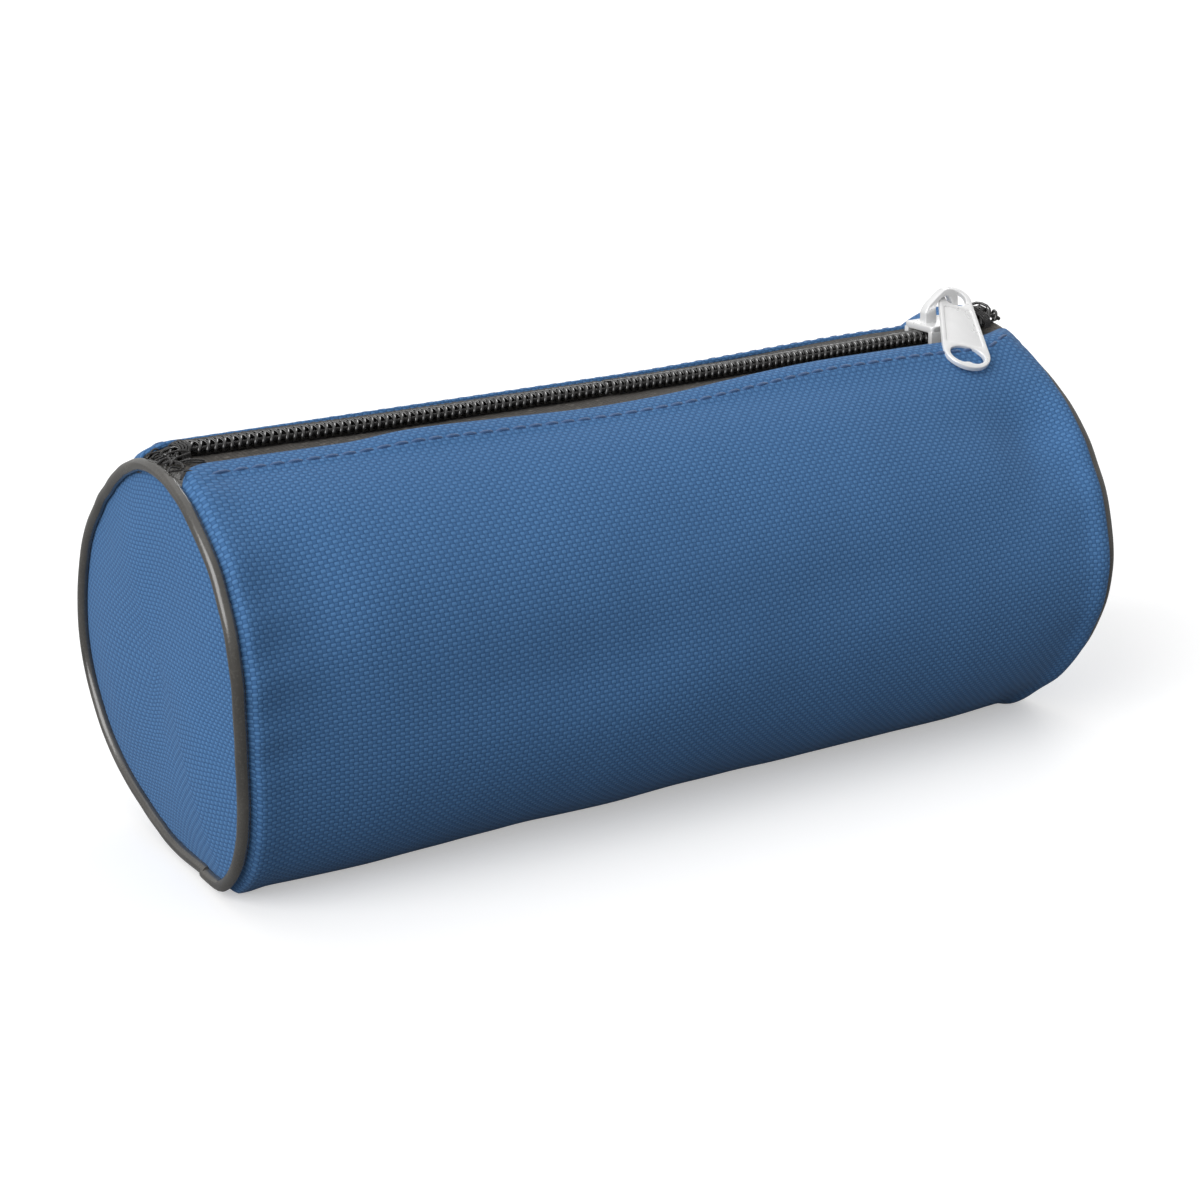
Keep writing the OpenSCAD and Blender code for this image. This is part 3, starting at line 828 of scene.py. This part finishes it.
class CASE_OT_ends(bpy.types.Operator):
    """Makes the round end panels, the piping with its cord, and the bound and stitched seams."""
    bl_idname = "case.ends"
    bl_label = "End panels and piping"

    def execute(self, context):
        for end in (LEFT, RIGHT):
            name = END_NAME[end]
            self.add_panel(end, name)
            self.add_piping(end, name)
            self.add_binding(end, name)
        return {"FINISHED"}

    def add_panel(self, end, name):
        edge_r = RING_R - 0.9 * MM
        face_x = RING_X - 0.5 * MM
        dome = 2.3 * MM
        rings = 30
        profile = []
        for i in range(rings + 1):
            r = edge_r * i / rings
            profile.append((face_x + dome * (1 - (r / edge_r) ** 3.4), r))
        turn_r = 1.2 * MM
        for i in range(1, 6):
            beta = i / 5 * math.pi / 2
            profile.append((face_x - turn_r * (1 - math.cos(beta)), edge_r + turn_r * math.sin(beta) * 0.35))
        profile.append((SEAM_X - 5 * MM, edge_r + turn_r * 0.35 - 0.5 * MM))
        bm = spun(profile, end)
        uv = bm.loops.layers.uv.new(WEAVE)
        slant = math.radians(4)
        for face in bm.faces:
            for loop in face.loops:
                y, z = loop.vert.co.y, loop.vert.co.z - AXIS_Z
                loop[uv].uv = (-end * y * math.cos(slant) - z * math.sin(slant),
                               z * math.cos(slant) - end * y * math.sin(slant))
        centre = Vector((0, 0, AXIS_Z))
        face_outwards(bm, lambda p: p - centre)
        for vert in bm.verts:
            r = math.hypot(vert.co.y, vert.co.z - AXIS_Z) / RING_R
            if r < 0.95:
                soft = noise.noise(Vector((end * 4.0, vert.co.y * 34, vert.co.z * 34)))
                vert.co.x += end * 1.3 * MM * soft * (1 - r ** 4)
        thicken(bm, cloth().thickness)
        piece = finish_bmesh(f"end_panel_cloth_{name}", bm, barrel_cloth_material(), sharp=60, settled=True)
        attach(piece, "case")
        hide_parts(f"end_panel_{name}")

    def piping_path(self, end):
        """Round the seam once: the last stretch ends inside the first, a little lower."""
        cross = math.radians(-168 if end == LEFT else 176)
        over = math.radians(0.8)
        steps = 220
        path = []
        for i in range(steps + 1):
            part = i / steps
            phi = cross - over + (2 * math.pi + 2 * over) * part
            under = smooth(1 - (1 - part) * steps / 12)
            r = RING_R - 0.4 * MM * under
            if end == RIGHT:
                r -= 1.0 * MM * bump_at(turn(phi, math.radians(-8)), 0, math.radians(34))
            path.append(settle(on_barrel(end * (RING_X - 0.25 * MM * under), phi, r)))
        return path

    def add_piping(self, end, name):
        path = self.piping_path(end)
        tube = tubes(f"piping_{name}", [path], cloth().piping_radius, 18, piping_vinyl())
        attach(tube, "case")
        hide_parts(f"piping_cover_{name}")
        profile = [(RING_X - 1.2 * MM, BARREL_R - 2.1 * MM), (SEAM_X - 4.2 * MM, BARREL_R - 2.3 * MM)]
        bm = spun(profile, end)
        thicken(bm, 0.45 * MM)
        flange = finish_bmesh(f"piping_flange_{name}", bm, piping_vinyl(), sharp=50, settled=True)
        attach(flange, "case")
        cord = tubes(f"piping_filler_{name}", [path], PIPING_FILLER_R, 10, white_cord())
        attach(cord, "case")
        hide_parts(f"piping_cord_{name}")

    def add_binding(self, end, name):
        inner, outer = BARREL_R - 4.2 * MM, BARREL_R - 1.75 * MM
        x0 = SEAM_X - 5.6 * MM
        profile = [(x0 + 3.6 * MM, inner), (x0 + 0.4 * MM, inner), (x0, inner + 0.5 * MM),
                   (x0, outer - 0.5 * MM), (x0 + 0.4 * MM, outer), (x0 + 3.6 * MM, outer)]
        bm = spun(profile, end, steps=96)
        uv = bm.loops.layers.uv.new(WEAVE)
        for face in bm.faces:
            for loop in face.loops:
                co = loop.vert.co
                loop[uv].uv = (math.atan2(co.y, co.z - AXIS_Z) * BARREL_R, co.x)
        thicken(bm, 0.3 * MM)
        material = shared_material("binding tape", tape_material, 0.5 * MM)
        piece = finish_bmesh(f"seam_tape_{name}", bm, material, sharp=50, settled=True)
        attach(piece, "case")
        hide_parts(f"seam_binding_{name}")
        r = inner - 0.12 * MM
        count = round(2 * math.pi * r / cloth().stitch_pitch)
        paths = []
        for i in range(count):
            phi = 2 * math.pi * i / count
            half = cloth().stitch_length / 2 / r
            paths.append([settle(on_barrel(end * (x0 + 1.7 * MM), phi + half * t, r + 0.3 * MM * abs(t) ** 3))
                          for t in (-1, -0.7, 0, 0.7, 1)])
        stitches = tubes(f"seam_stitches_{name}", paths, SEAM_THREAD_R, 6, blue_thread())
        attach(stitches, "case")
        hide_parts(f"seam_stitching_{name}")


# ---------------------------------------------------------------- zip


CLIMB_X = 90.4 * MM                         # where the zip starts to climb over the end seams
COIL_RAISE = 0.15 * MM                      # the visible coil is flatter than its frame
COIL_HALF_WIDTH = 3.35 * MM
COIL_FILLER_R = 0.42 * MM
LOOSE_THREAD_R = 0.2 * MM
TAPE_WIDTH = 15.5 * MM
TAPE_TAIL = 1.0 * MM                        # the tapes reach this far past the coils, into the end seams
LEFT_ZIP_END, RIGHT_ZIP_END = -97.2 * MM, 97.6 * MM


def climb(x):
    """How far the zip stands up: a little towards its ends, then over the end seams, and down again."""
    end = abs(x)
    over = smooth((end - CLIMB_X) / (2.6 * MM))
    if x > 0:
        stub = 0.5 * MM * bump_at(x, 95 * MM, 2.4 * MM) - 1.6 * MM * smooth((x - 96 * MM) / (3 * MM))
        return cloth().slack + 0.9 * MM * smooth((x - 5 * MM) / (75 * MM)) + 1.5 * MM * over + stub
    eased = cloth().slack + 0.4 * MM * smooth((end - 50 * MM) / (36 * MM))
    return eased + 0.3 * MM * over - 2.6 * MM * smooth((end - 92.5 * MM) / (5.5 * MM))


def aside(x):
    """How far each coil stands aside: they part round the wedge of the closed slider."""
    spread = 1.75 * MM
    start = (x - SLIDER_X + 0.5 * MM) / (3.5 * MM)
    closing = (x - SLIDER_X - 6 * MM) / (3 * MM)
    return spread * smooth(start) * (1 - 0.72 * smooth(closing))


def zip_ends(end):
    """Stretch of the zip that one end's pieces cover."""
    return (LEFT_ZIP_END, 0.0) if end == LEFT else (0.0, RIGHT_ZIP_END)


def ride_mouth(piece):
    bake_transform(piece)


class CASE_OT_zip(bpy.types.Operator):
    """Makes the zip: tapes, wound coils, their cords, the bar tacks and the loose ends."""
    bl_idname = "case.zip"
    bl_label = "Zip"

    def execute(self, context):
        for side in (FRONT, BACK):
            for end in (LEFT, RIGHT):
                self.add_tape(side, end)
                self.add_coil(side, end)
                self.add_coil_cord(side, end)
        for end in (LEFT, RIGHT):
            self.add_tack(end)
        self.add_loose_ends()
        self.add_cut_teeth()
        return {"FINISHED"}

    def add_tape(self, side, end):
        x0, x1 = zip_ends(end)
        x0, x1 = (x0 - TAPE_TAIL, x1) if end == LEFT else (x0, x1 + TAPE_TAIL)
        top = COIL_LOW.z + COIL_RAISE - 0.12 * MM - AXIS_Z
        hidden_r = math.hypot(cloth().hem_gap, top) - 0.02 * MM
        rows, columns = 22, 100

        def place(column, row):
            x = x0 + (x1 - x0) * column / (columns - 1)
            out = TAPE_WIDTH * row / (rows - 1)
            edge = 0.5 * MM + aside(x)
            gap = cloth().hem_gap
            dive = (2.6 if end == RIGHT else 0.5) * MM * smooth((abs(x) - 95.4 * MM) / (3.2 * MM))
            if edge + out < gap:
                lift = climb(x) * (1 - 0.6 * smooth((edge + out) / gap - 0.35)) - dive
                wave = 0.12 * MM * noise.noise(Vector((x * 150, side * 2.0 + out * 90, 0)))
                point = Vector((x, side * (edge + out), AXIS_Z + top + lift + wave))
            else:
                phi = math.asin(gap / hidden_r) + (edge + out - gap) / hidden_r
                lift = (climb(x) * 0.4 - 0.5 * dive) * (1 - smooth((edge + out - gap) / (3 * MM)))
                tuck = 0.45 * MM * smooth((abs(x) - 93 * MM) / (4 * MM))
                point = on_barrel(x, side * phi, hidden_r + lift - tuck)
            return settle(point), Vector((x, side * out))

        bm = woven_grid(columns, rows, place)
        face_outwards(bm, lambda p: Vector((0, 0, 1)))
        thicken(bm, zipper().tape_thickness)
        material = shared_material("zip tape", tape_material, 0.62 * MM)
        piece = finish_bmesh(f"tape_{SIDE_NAME[side]}_{END_NAME[end]}", bm, material, sharp=60)
        ride_mouth(piece)
        if end == LEFT:
            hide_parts(f"zip_tape_{SIDE_NAME[side]}")
        if side == FRONT:
            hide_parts(*(["zip_tape_front"] if end == LEFT else []), f"zip_end_tapes_{END_NAME[end]}")

    def coil_loop(self, x, side):
        """One turn of the coil: in along the bottom, up round the head, out along the top and down."""
        pitch = zipper().tooth_pitch
        a = zipper().filament
        low = COIL_LOW.z + COIL_RAISE + a
        high = COIL_HIGH.z - a + 0.12 * MM
        mid = (low + high) / 2
        out = COIL_HALF_WIDTH - a
        steps = (
            (-0.60, 0.60, low), (-0.10, 0.05, low), (0.0, -0.12, low + 0.30 * MM), (0.0, -0.20, mid),
            (0.02, -0.12, high - 0.34 * MM), (-0.16, 0.05, high - 0.03 * MM), (-0.46, 0.36, high),
            (-0.78, 0.70, high - 0.14 * MM), (-1.02, 0.92, high - 0.46 * MM), (-1.18, 1.02, mid),
            (-1.28, 0.97, low + 0.15 * MM),
        )
        points = []
        for dx, y, z in steps:
            px = x + dx * pitch
            points.append(Vector((px, side * (y * out + aside(px)), z + climb(px))))
        return points

    def add_coil(self, side, end):
        pitch = zipper().tooth_pitch
        shift = 0 if side == FRONT else pitch / 2
        x0, x1 = zip_ends(end)
        first = math.ceil((x0 - shift) / pitch)
        last = math.floor((x1 - shift) / pitch) - (1 if end == LEFT else 0)
        path = []
        for i in range(first, last + 1):
            path += [settle(point) for point in self.coil_loop(i * pitch + shift, side)]
        name = f"coil_{SIDE_NAME[side]}_{END_NAME[end]}"
        piece = tubes(name, [path], zipper().filament, 8, coil_filament())
        ride_mouth(piece)
        nodes = [f"zip_coil_{SIDE_NAME[side]}"] if end == LEFT else []
        nodes += [f"zip_end_coils_{END_NAME[end]}"] if side == FRONT else []
        if nodes:
            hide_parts(*nodes)

    def add_coil_cord(self, side, end):
        x0, x1 = zip_ends(end)
        mid = (COIL_LOW.z + COIL_RAISE + COIL_HIGH.z) / 2
        count = 60
        path = []
        for i in range(count + 1):
            x = x0 + (x1 - x0) * i / count
            path.append(settle(Vector((x, side * (1.75 * MM + aside(x)), mid + climb(x)))))
        name = f"coil_filler_{SIDE_NAME[side]}_{END_NAME[end]}"
        piece = tubes(name, [path], COIL_FILLER_R, 8, black_thread())
        ride_mouth(piece)
        if end == LEFT:
            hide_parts(f"coil_cord_{SIDE_NAME[side]}")

    def add_tack(self, end):
        """Thread wound over both coils."""
        low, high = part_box(f"bar_tack_{END_NAME[end]}")
        paths = []
        turns = 4
        for i in range(turns):
            x = low.x + (high.x - low.x) * (i + 0.5) / turns
            path = []
            for k in range(17):
                beta = math.pi * k / 16
                y = -math.cos(beta) * (high.y - 0.1 * MM)
                z = COIL_LOW.z - 0.4 * MM + (COIL_HIGH.z - COIL_LOW.z + 0.65 * MM) * math.sin(beta) ** 0.42
                path.append(settle(Vector((x + 0.1 * MM * math.sin(7 * beta + i), y, z + climb(x)))))
            paths.append(path)
        piece = tubes(f"tack_{END_NAME[end]}", paths, LOOSE_THREAD_R, 6, black_thread())
        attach(piece, "case")
        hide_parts(f"bar_tack_{END_NAME[end]}")

    def add_loose_ends(self):
        """Crushed turns and frayed threads where the zip dives into the left seam."""
        rng = random.Random(11)
        paths = []
        for _ in range(zipper().tangle):
            x = rng.uniform(-97.5, -91.0) * MM
            reach = smooth((-x / MM - 90.5) / 6)
            y = rng.uniform(-4 - 10 * reach, 3.5) * MM
            phi = math.asin(max(-0.99, min(0.99, y / BARREL_R)))
            r = BARREL_R - 0.5 * MM + rng.uniform(-0.6, 0.9) * MM
            heading = rng.uniform(0, 2 * math.pi)
            curl = rng.uniform(-1.6, 1.6)
            length = rng.uniform(1.6, 4.2) * MM
            path = []
            for k in range(8):
                t = k / 7 - 0.5
                px = x + math.cos(heading + curl * t) * length * t
                pphi = phi + math.sin(heading + curl * t) * length * t / BARREL_R
                hump = (0.25 - t * t) * 1.6 * MM
                path.append(settle(on_barrel(max(px, -98.2 * MM), pphi, r + hump)))
            paths.append(path)
        piece = tubes("zip_loose_threads", paths, LOOSE_THREAD_R, 6, black_thread())
        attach(piece, "case")

    def add_cut_teeth(self):
        """Cut ends of the filament that stand up behind the slider."""
        rng = random.Random(5)
        paths = []
        for i, x in enumerate((91.2, 92.0, 92.9)):
            base = Vector((x * MM, (1.6 + 0.5 * i) * MM, COIL_HIGH.z + climb(x * MM) - 0.5 * MM))
            lean = Vector((rng.uniform(-0.2, 0.5), rng.uniform(-0.2, 0.4), 1)).normalized()
            paths.append([base, base + lean * 0.7 * MM, base + lean * (1.5 - 0.3 * i) * MM])
        piece = tubes("zip_cut_teeth", paths, zipper().filament, 8, coil_filament())
        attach(piece, "case")


HEM_THREAD_R = 0.38 * MM
STITCHED_LENGTH = 94 * MM                   # stitches are laid out this far from the middle, each way
STITCH_LIMIT = 95.5 * MM                    # and none reaches past this


class CASE_OT_stitching(bpy.types.Operator):
    """Sews the row of stitches along each hem."""
    bl_idname = "case.stitching"
    bl_label = "Hem stitching"

    def execute(self, context):
        sizes = cloth()
        half = sizes.stitch_length / 2
        for side in (FRONT, BACK):
            for end in (LEFT, RIGHT):
                paths = []
                for i in range(int(STITCHED_LENGTH / sizes.stitch_pitch)):
                    x = end * (i + 0.5) * sizes.stitch_pitch
                    if abs(x) + half > STITCH_LIMIT:
                        continue
                    paths.append([self.stitch_point(x + half * t, side, t)
                                  for t in (-1, -0.82, -0.4, 0, 0.4, 0.82, 1)])
                name = f"hem_stitches_{SIDE_NAME[side]}_{END_NAME[end]}"
                piece = tubes(name, paths, HEM_THREAD_R, 8, blue_thread())
                ride_mouth(piece)
                nodes = [f"hem_stitching_{SIDE_NAME[side]}"] if end == LEFT else []
                if side == FRONT and end == RIGHT:
                    nodes.append("hem_stitching_ends")
                if nodes:
                    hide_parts(*nodes)
        return {"FINISHED"}

    def stitch_point(self, x, side, t):
        sizes = cloth()
        phi = hem_angle(x, side) + (HEM_TURN_R + sizes.stitch_in) / BARREL_R
        r = BARREL_R + sizes.hem_rise - 0.22 * MM - 0.5 * MM * abs(t) ** 5 + 0.12 * MM - seam_tuck(x)
        return settle(on_barrel(x, side * phi, r))


# ---------------------------------------------------------------- slider and pull tab


SLIDER_LIFT = 0.9 * MM                      # the top plate and the pull stand this far over their frame


def extruded(outline, z0, z1):
    """A solid bmesh from a flat outline of (x, y) points between two heights."""
    bm = bmesh.new()
    face = bm.faces.new([bm.verts.new((x, y, z0)) for x, y in outline])
    moved = bmesh.ops.extrude_face_region(bm, geom=[face])["geom"]
    top = [item for item in moved if isinstance(item, bmesh.types.BMVert)]
    bmesh.ops.translate(bm, vec=(0, 0, z1 - z0), verts=top)
    bmesh.ops.recalc_face_normals(bm, faces=bm.faces[:])
    return bm


def rounded(bm, width, segments=3, limit=30):
    """Bevels the edges that are sharper than limit degrees."""
    sharp = [edge for edge in bm.edges if len(edge.link_faces) == 2
             and edge.calc_face_angle(0) > math.radians(limit)]
    bmesh.ops.bevel(bm, geom=sharp, offset=width, offset_type="OFFSET", segments=segments, profile=0.5,
                    affect="EDGES", clamp_overlap=True, material=-1)
    return bm


def joined(parts):
    """One bmesh that holds all the parts."""
    whole = bmesh.new()
    for part in parts:
        mesh = bpy.data.meshes.new("part")
        part.to_mesh(mesh)
        part.free()
        whole.from_mesh(mesh)
        bpy.data.meshes.remove(mesh)
    return whole


def round_corners(outline, radius, steps=5):
    """The outline with each corner turned into a short arc."""
    points = []
    count = len(outline)
    for i, (x, y) in enumerate(outline):
        here = Vector((x, y))
        before = Vector(outline[i - 1]) - here
        after = Vector(outline[(i + 1) % count]) - here
        reach = min(radius, before.length * 0.45, after.length * 0.45)
        start, stop = here + before.normalized() * reach, here + after.normalized() * reach
        for k in range(steps + 1):
            t = k / steps
            points.append(tuple((1 - t) ** 2 * start + 2 * t * (1 - t) * here + t ** 2 * stop))
    return points


def smooth_path(points, steps=6):
    """A rounded path through the points."""
    path = []
    last = len(points) - 1
    for i in range(last):
        p0, p1, p2, p3 = (Vector(points[max(0, min(last, i + k))]) for k in (-1, 0, 1, 2))
        for k in range(steps):
            t = k / steps
            path.append(0.5 * (2 * p1 + (p2 - p0) * t + (2 * p0 - 5 * p1 + 4 * p2 - p3) * t ** 2
                               + (3 * p1 - p0 - 3 * p2 + p3) * t ** 3))
    path.append(Vector(points[-1]))
    return path


class CASE_OT_slider(bpy.types.Operator):
    """Makes the cast slider: two flanged plates, the wedge between them and the bridge."""
    bl_idname = "case.slider"
    bl_label = "Slider"

    def execute(self, context):
        half = (SLIDER_HIGH.x - SLIDER_LOW.x) / 2
        narrow, wide = 4.6 * MM, (SLIDER_HIGH.y - SLIDER_LOW.y) / 2
        outline = [(-half, -narrow), (-0.5 * MM, -narrow), (3 * MM, -wide), (half, -wide + 0.4 * MM),
                   (half, wide - 0.4 * MM), (3 * MM, wide), (-0.5 * MM, narrow), (-half, narrow)]
        outline = round_corners(outline, 0.9 * MM)
        plate_low = COIL_HIGH.z + 0.2 * MM + SLIDER_LIFT
        plate_high = plate_low + 1.4 * MM
        tape_z = COIL_LOW.z + COIL_RAISE + 0.55 * MM
        bottom_low = SLIDER_LOW.z
        bottom_high = bottom_low + 1.2 * MM
        parts = [rounded(extruded(outline, plate_low - 0.1 * MM, plate_high), 0.35 * MM, 4),
                 rounded(extruded(outline, bottom_low, bottom_high), 0.3 * MM)]
        for side in (FRONT, BACK):
            flange = [(-half, side * 3.35 * MM), (-0.5 * MM, side * 3.35 * MM), (3 * MM, side * 4.95 * MM),
                      (half, side * 4.8 * MM), (half - 0.2 * MM, side * (wide - 0.45 * MM)),
                      (3 * MM, side * wide), (-0.5 * MM, side * narrow), (-half, side * narrow)]
            parts.append(rounded(extruded(flange, tape_z, plate_low + 0.3 * MM), 0.15 * MM, 2))
            lower = extruded(flange, bottom_high - 0.3 * MM, bottom_high + 0.4 * MM)
            parts.append(rounded(lower, 0.12 * MM, 2))
        wedge = [(1.8 * MM, 0), (3 * MM, -1 * MM), (half - 0.7 * MM, -0.8 * MM), (half - 0.7 * MM, 0.8 * MM),
                 (3 * MM, 1 * MM)]
        parts.append(rounded(extruded(wedge, bottom_high - 0.2 * MM, plate_low + 0.3 * MM), 0.15 * MM, 2))
        parts.append(self.bridge(plate_high))
        bm = joined(parts)
        bmesh.ops.translate(bm, vec=(SLIDER_X, 0, 0), verts=bm.verts[:])
        material = shared_material("slider plating", metal_material)
        piece = finish_bmesh("slider", bm, material, sharp=40)
        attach(piece, "slider")
        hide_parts("slider_body")
        return {"FINISHED"}

    def bridge(self, plate_high):
        """The cast bridge that the pull tab hangs on: solid at its left foot, round the eye at its right."""
        top = (SLIDER_HIGH.z + SLIDER_LIFT - plate_high) / MM
        outer = [(-4.6, -0.4), (-4.6, 1.4), (-4.5, 2.6), (-3.6, 3.9), (-1.8, 5.3), (0.1, top - 0.35),
                 (1.5, top), (3.0, top - 0.35), (4.1, top - 1.5), (4.35, top - 3.2), (4.3, 1.0), (4.25, -0.4)]
        inner = [(2.8, -0.4), (2.8, 2.0), (2.75, 3.9), (2.2, 5.0), (1.2, 5.45), (0.0, 5.2), (-1.2, 4.3),
                 (-1.75, 3.0), (-1.6, 1.6), (-1.5, -0.4)]
        flat = [(x * MM, plate_high + z * MM) for x, z in smooth_path(outer, 4) + smooth_path(inner, 4)]
        width = 2.1 * MM
        bm = extruded(flat, -width / 2, width / 2)
        rounded(bm, 0.42 * MM, 4, limit=50)
        bmesh.ops.rotate(bm, cent=(0, 0, 0), matrix=Matrix.Rotation(math.pi / 2, 3, "X"), verts=bm.verts[:])
        return bm


def arc(centre, radius, start, stop, steps):
    """Points on an arc, from angle start to angle stop in degrees."""
    return [(centre[0] + radius * math.cos(math.radians(start + (stop - start) * k / steps)),
             centre[1] + radius * math.sin(math.radians(start + (stop - start) * k / steps)))
            for k in range(steps + 1)]


def tapered_outline(r0, r1, distance, steps=20):
    """A flat tag with a round end of r0 at the origin and one of r1 at distance towards -Y."""
    lean = math.degrees(math.asin((r1 - r0) / distance))
    return (arc((0, 0), r0, lean, 180 - lean, steps)
            + arc((0, -distance), r1, 180 - lean, 360 + lean, steps + 8))


def oval(centre, width, height, steps=40, square=2.3):
    """A rounded oval: square 2 is an ellipse, and more is fuller at its corners."""
    points = []
    for k in range(steps):
        t = 2 * math.pi * k / steps
        c, s = math.cos(t), math.sin(t)
        points.append((centre[0] + width / 2 * math.copysign(abs(c) ** (2 / square), c),
                       centre[1] + height / 2 * math.copysign(abs(s) ** (2 / square), s)))
    return points


def plate_with_holes(outline, holes, low, high, bevel):
    """A plate with holes, from flat outlines, with its edges rounded."""
    curve = bpy.data.curves.new("plate", "CURVE")
    curve.dimensions = "2D"
    curve.fill_mode = "BOTH"
    curve.extrude = (high - low) / 2 - bevel
    curve.bevel_depth = bevel
    curve.bevel_resolution = 3
    curve.offset = -bevel
    for points in [outline] + holes:
        spline = curve.splines.new("POLY")
        spline.points.add(len(points) - 1)
        for dot, (x, y) in zip(spline.points, points):
            dot.co = (x, y, 0, 1)
        spline.use_cyclic_u = True
    carrier = bpy.data.objects.new("plate", curve)
    bpy.context.scene.collection.objects.link(carrier)
    bpy.context.view_layer.update()
    mesh = bpy.data.meshes.new_from_object(carrier.evaluated_get(bpy.context.evaluated_depsgraph_get()))
    bpy.data.objects.remove(carrier)
    bm = bmesh.new()
    bm.from_mesh(mesh)
    bpy.data.meshes.remove(mesh)
    bmesh.ops.remove_doubles(bm, verts=bm.verts[:], dist=1e-6)
    bmesh.ops.translate(bm, vec=(0, 0, (low + high) / 2), verts=bm.verts[:])
    return bm


class CASE_OT_pull(bpy.types.Operator):
    """Makes the pull tab: a raised rim round a sunk field, the eye and the oval hole with its nub."""
    bl_idname = "case.pull"
    bl_label = "Pull tab"

    def execute(self, context):
        reach = zipper().pull_reach
        eye_r, tip_r = 3.7 * MM, 5.3 * MM
        distance = reach - tip_r
        half_t = 0.55 * MM
        outline = tapered_outline(eye_r, tip_r, distance)
        eye = oval((0, -0.3 * MM), 4.9 * MM, 5.2 * MM)
        hole_y = -reach + 1.35 * MM + 2.8 * MM
        hole = self.nubbed(oval((0, hole_y), 7.7 * MM, 5.6 * MM, 64, 2.1), hole_y)
        field = self.field_outline(eye_r, tip_r, distance, hole_y)
        rim = plate_with_holes(outline, [eye, hole, field], -half_t, half_t, 0.22 * MM)
        web = plate_with_holes([(1.07 * x, y) for x, y in field], [], -0.32 * MM, 0.32 * MM, 0.05 * MM)
        bm = joined([rim, web])
        for angle, axis in ((-zipper().pull_skew, "Z"), (zipper().pull_slope, "X")):
            bmesh.ops.rotate(bm, cent=(0, 0, 0), matrix=Matrix.Rotation(angle, 3, axis), verts=bm.verts[:])
        hung_at = PULL_PIVOT + Vector((0.6 * MM, 0, SLIDER_LIFT + 0.6 * MM))
        bmesh.ops.translate(bm, vec=hung_at, verts=bm.verts[:])
        material = shared_material("pull plating", metal_material)
        piece = finish_bmesh("pull", bm, material, sharp=40)
        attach(piece, "pull")
        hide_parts("pull_tab")
        return {"FINISHED"}

    def nubbed(self, points, hole_y):
        """A small nub on the hole's edge nearest the tip."""
        nub = 0.55 * MM
        return [(x, y + (nub * bump_at(x, 0, 0.9 * MM) if y < hole_y else 0)) for x, y in points]

    def field_outline(self, eye_r, tip_r, distance, hole_y):
        """The sunk field between the eye and the hole, a rim's width inside the outline."""
        rim_w = 0.95 * MM
        top, low = -3.9 * MM, hole_y + 3.6 * MM

        def half_width(y):
            return eye_r + (tip_r - eye_r) * min(1, -y / distance) - rim_w

        corners = [(-half_width(top), top), (-half_width(low), low),
                   (half_width(low), low), (half_width(top), top)]
        return round_corners(corners, 0.8 * MM)


# ---------------------------------------------------------------- panel and run


class CASE_PT_panel(bpy.types.Panel):
    """Lists the case's steps and sizes."""
    bl_label = "Pencil case"
    bl_idname = "CASE_PT_panel"
    bl_space_type = "VIEW_3D"
    bl_region_type = "UI"
    bl_category = "Pencil case"

    def draw(self, context):
        for operator in OPERATORS:
            self.layout.operator(operator.bl_idname)
        for name, group in GROUPS.items():
            for prop in group.__annotations__:
                self.layout.prop(getattr(context.scene, name), prop)


GROUPS = {"case_cloth": ClothSizes, "case_zip": ZipSizes, "case_colours": CaseColours}
OPERATORS = (CASE_OT_stage, CASE_OT_barrel, CASE_OT_ends, CASE_OT_zip, CASE_OT_stitching, CASE_OT_slider,
             CASE_OT_pull)


def register():
    for cls in (*GROUPS.values(), *OPERATORS, CASE_PT_panel):
        bpy.utils.register_class(cls)
    for name, group in GROUPS.items():
        setattr(bpy.types.Scene, name, PointerProperty(type=group))


def unregister():
    for name in GROUPS:
        delattr(bpy.types.Scene, name)
    for cls in (CASE_PT_panel, *OPERATORS, *GROUPS.values()):
        bpy.utils.unregister_class(cls)


def main():
    register()
    bpy.ops.case.stage()
    bpy.ops.case.barrel()
    bpy.ops.case.ends()
    bpy.ops.case.zip()
    bpy.ops.case.stitching()
    bpy.ops.case.slider()
    bpy.ops.case.pull()
    bpy.context.view_layer.update()


if __name__ == "__main__":
    main()
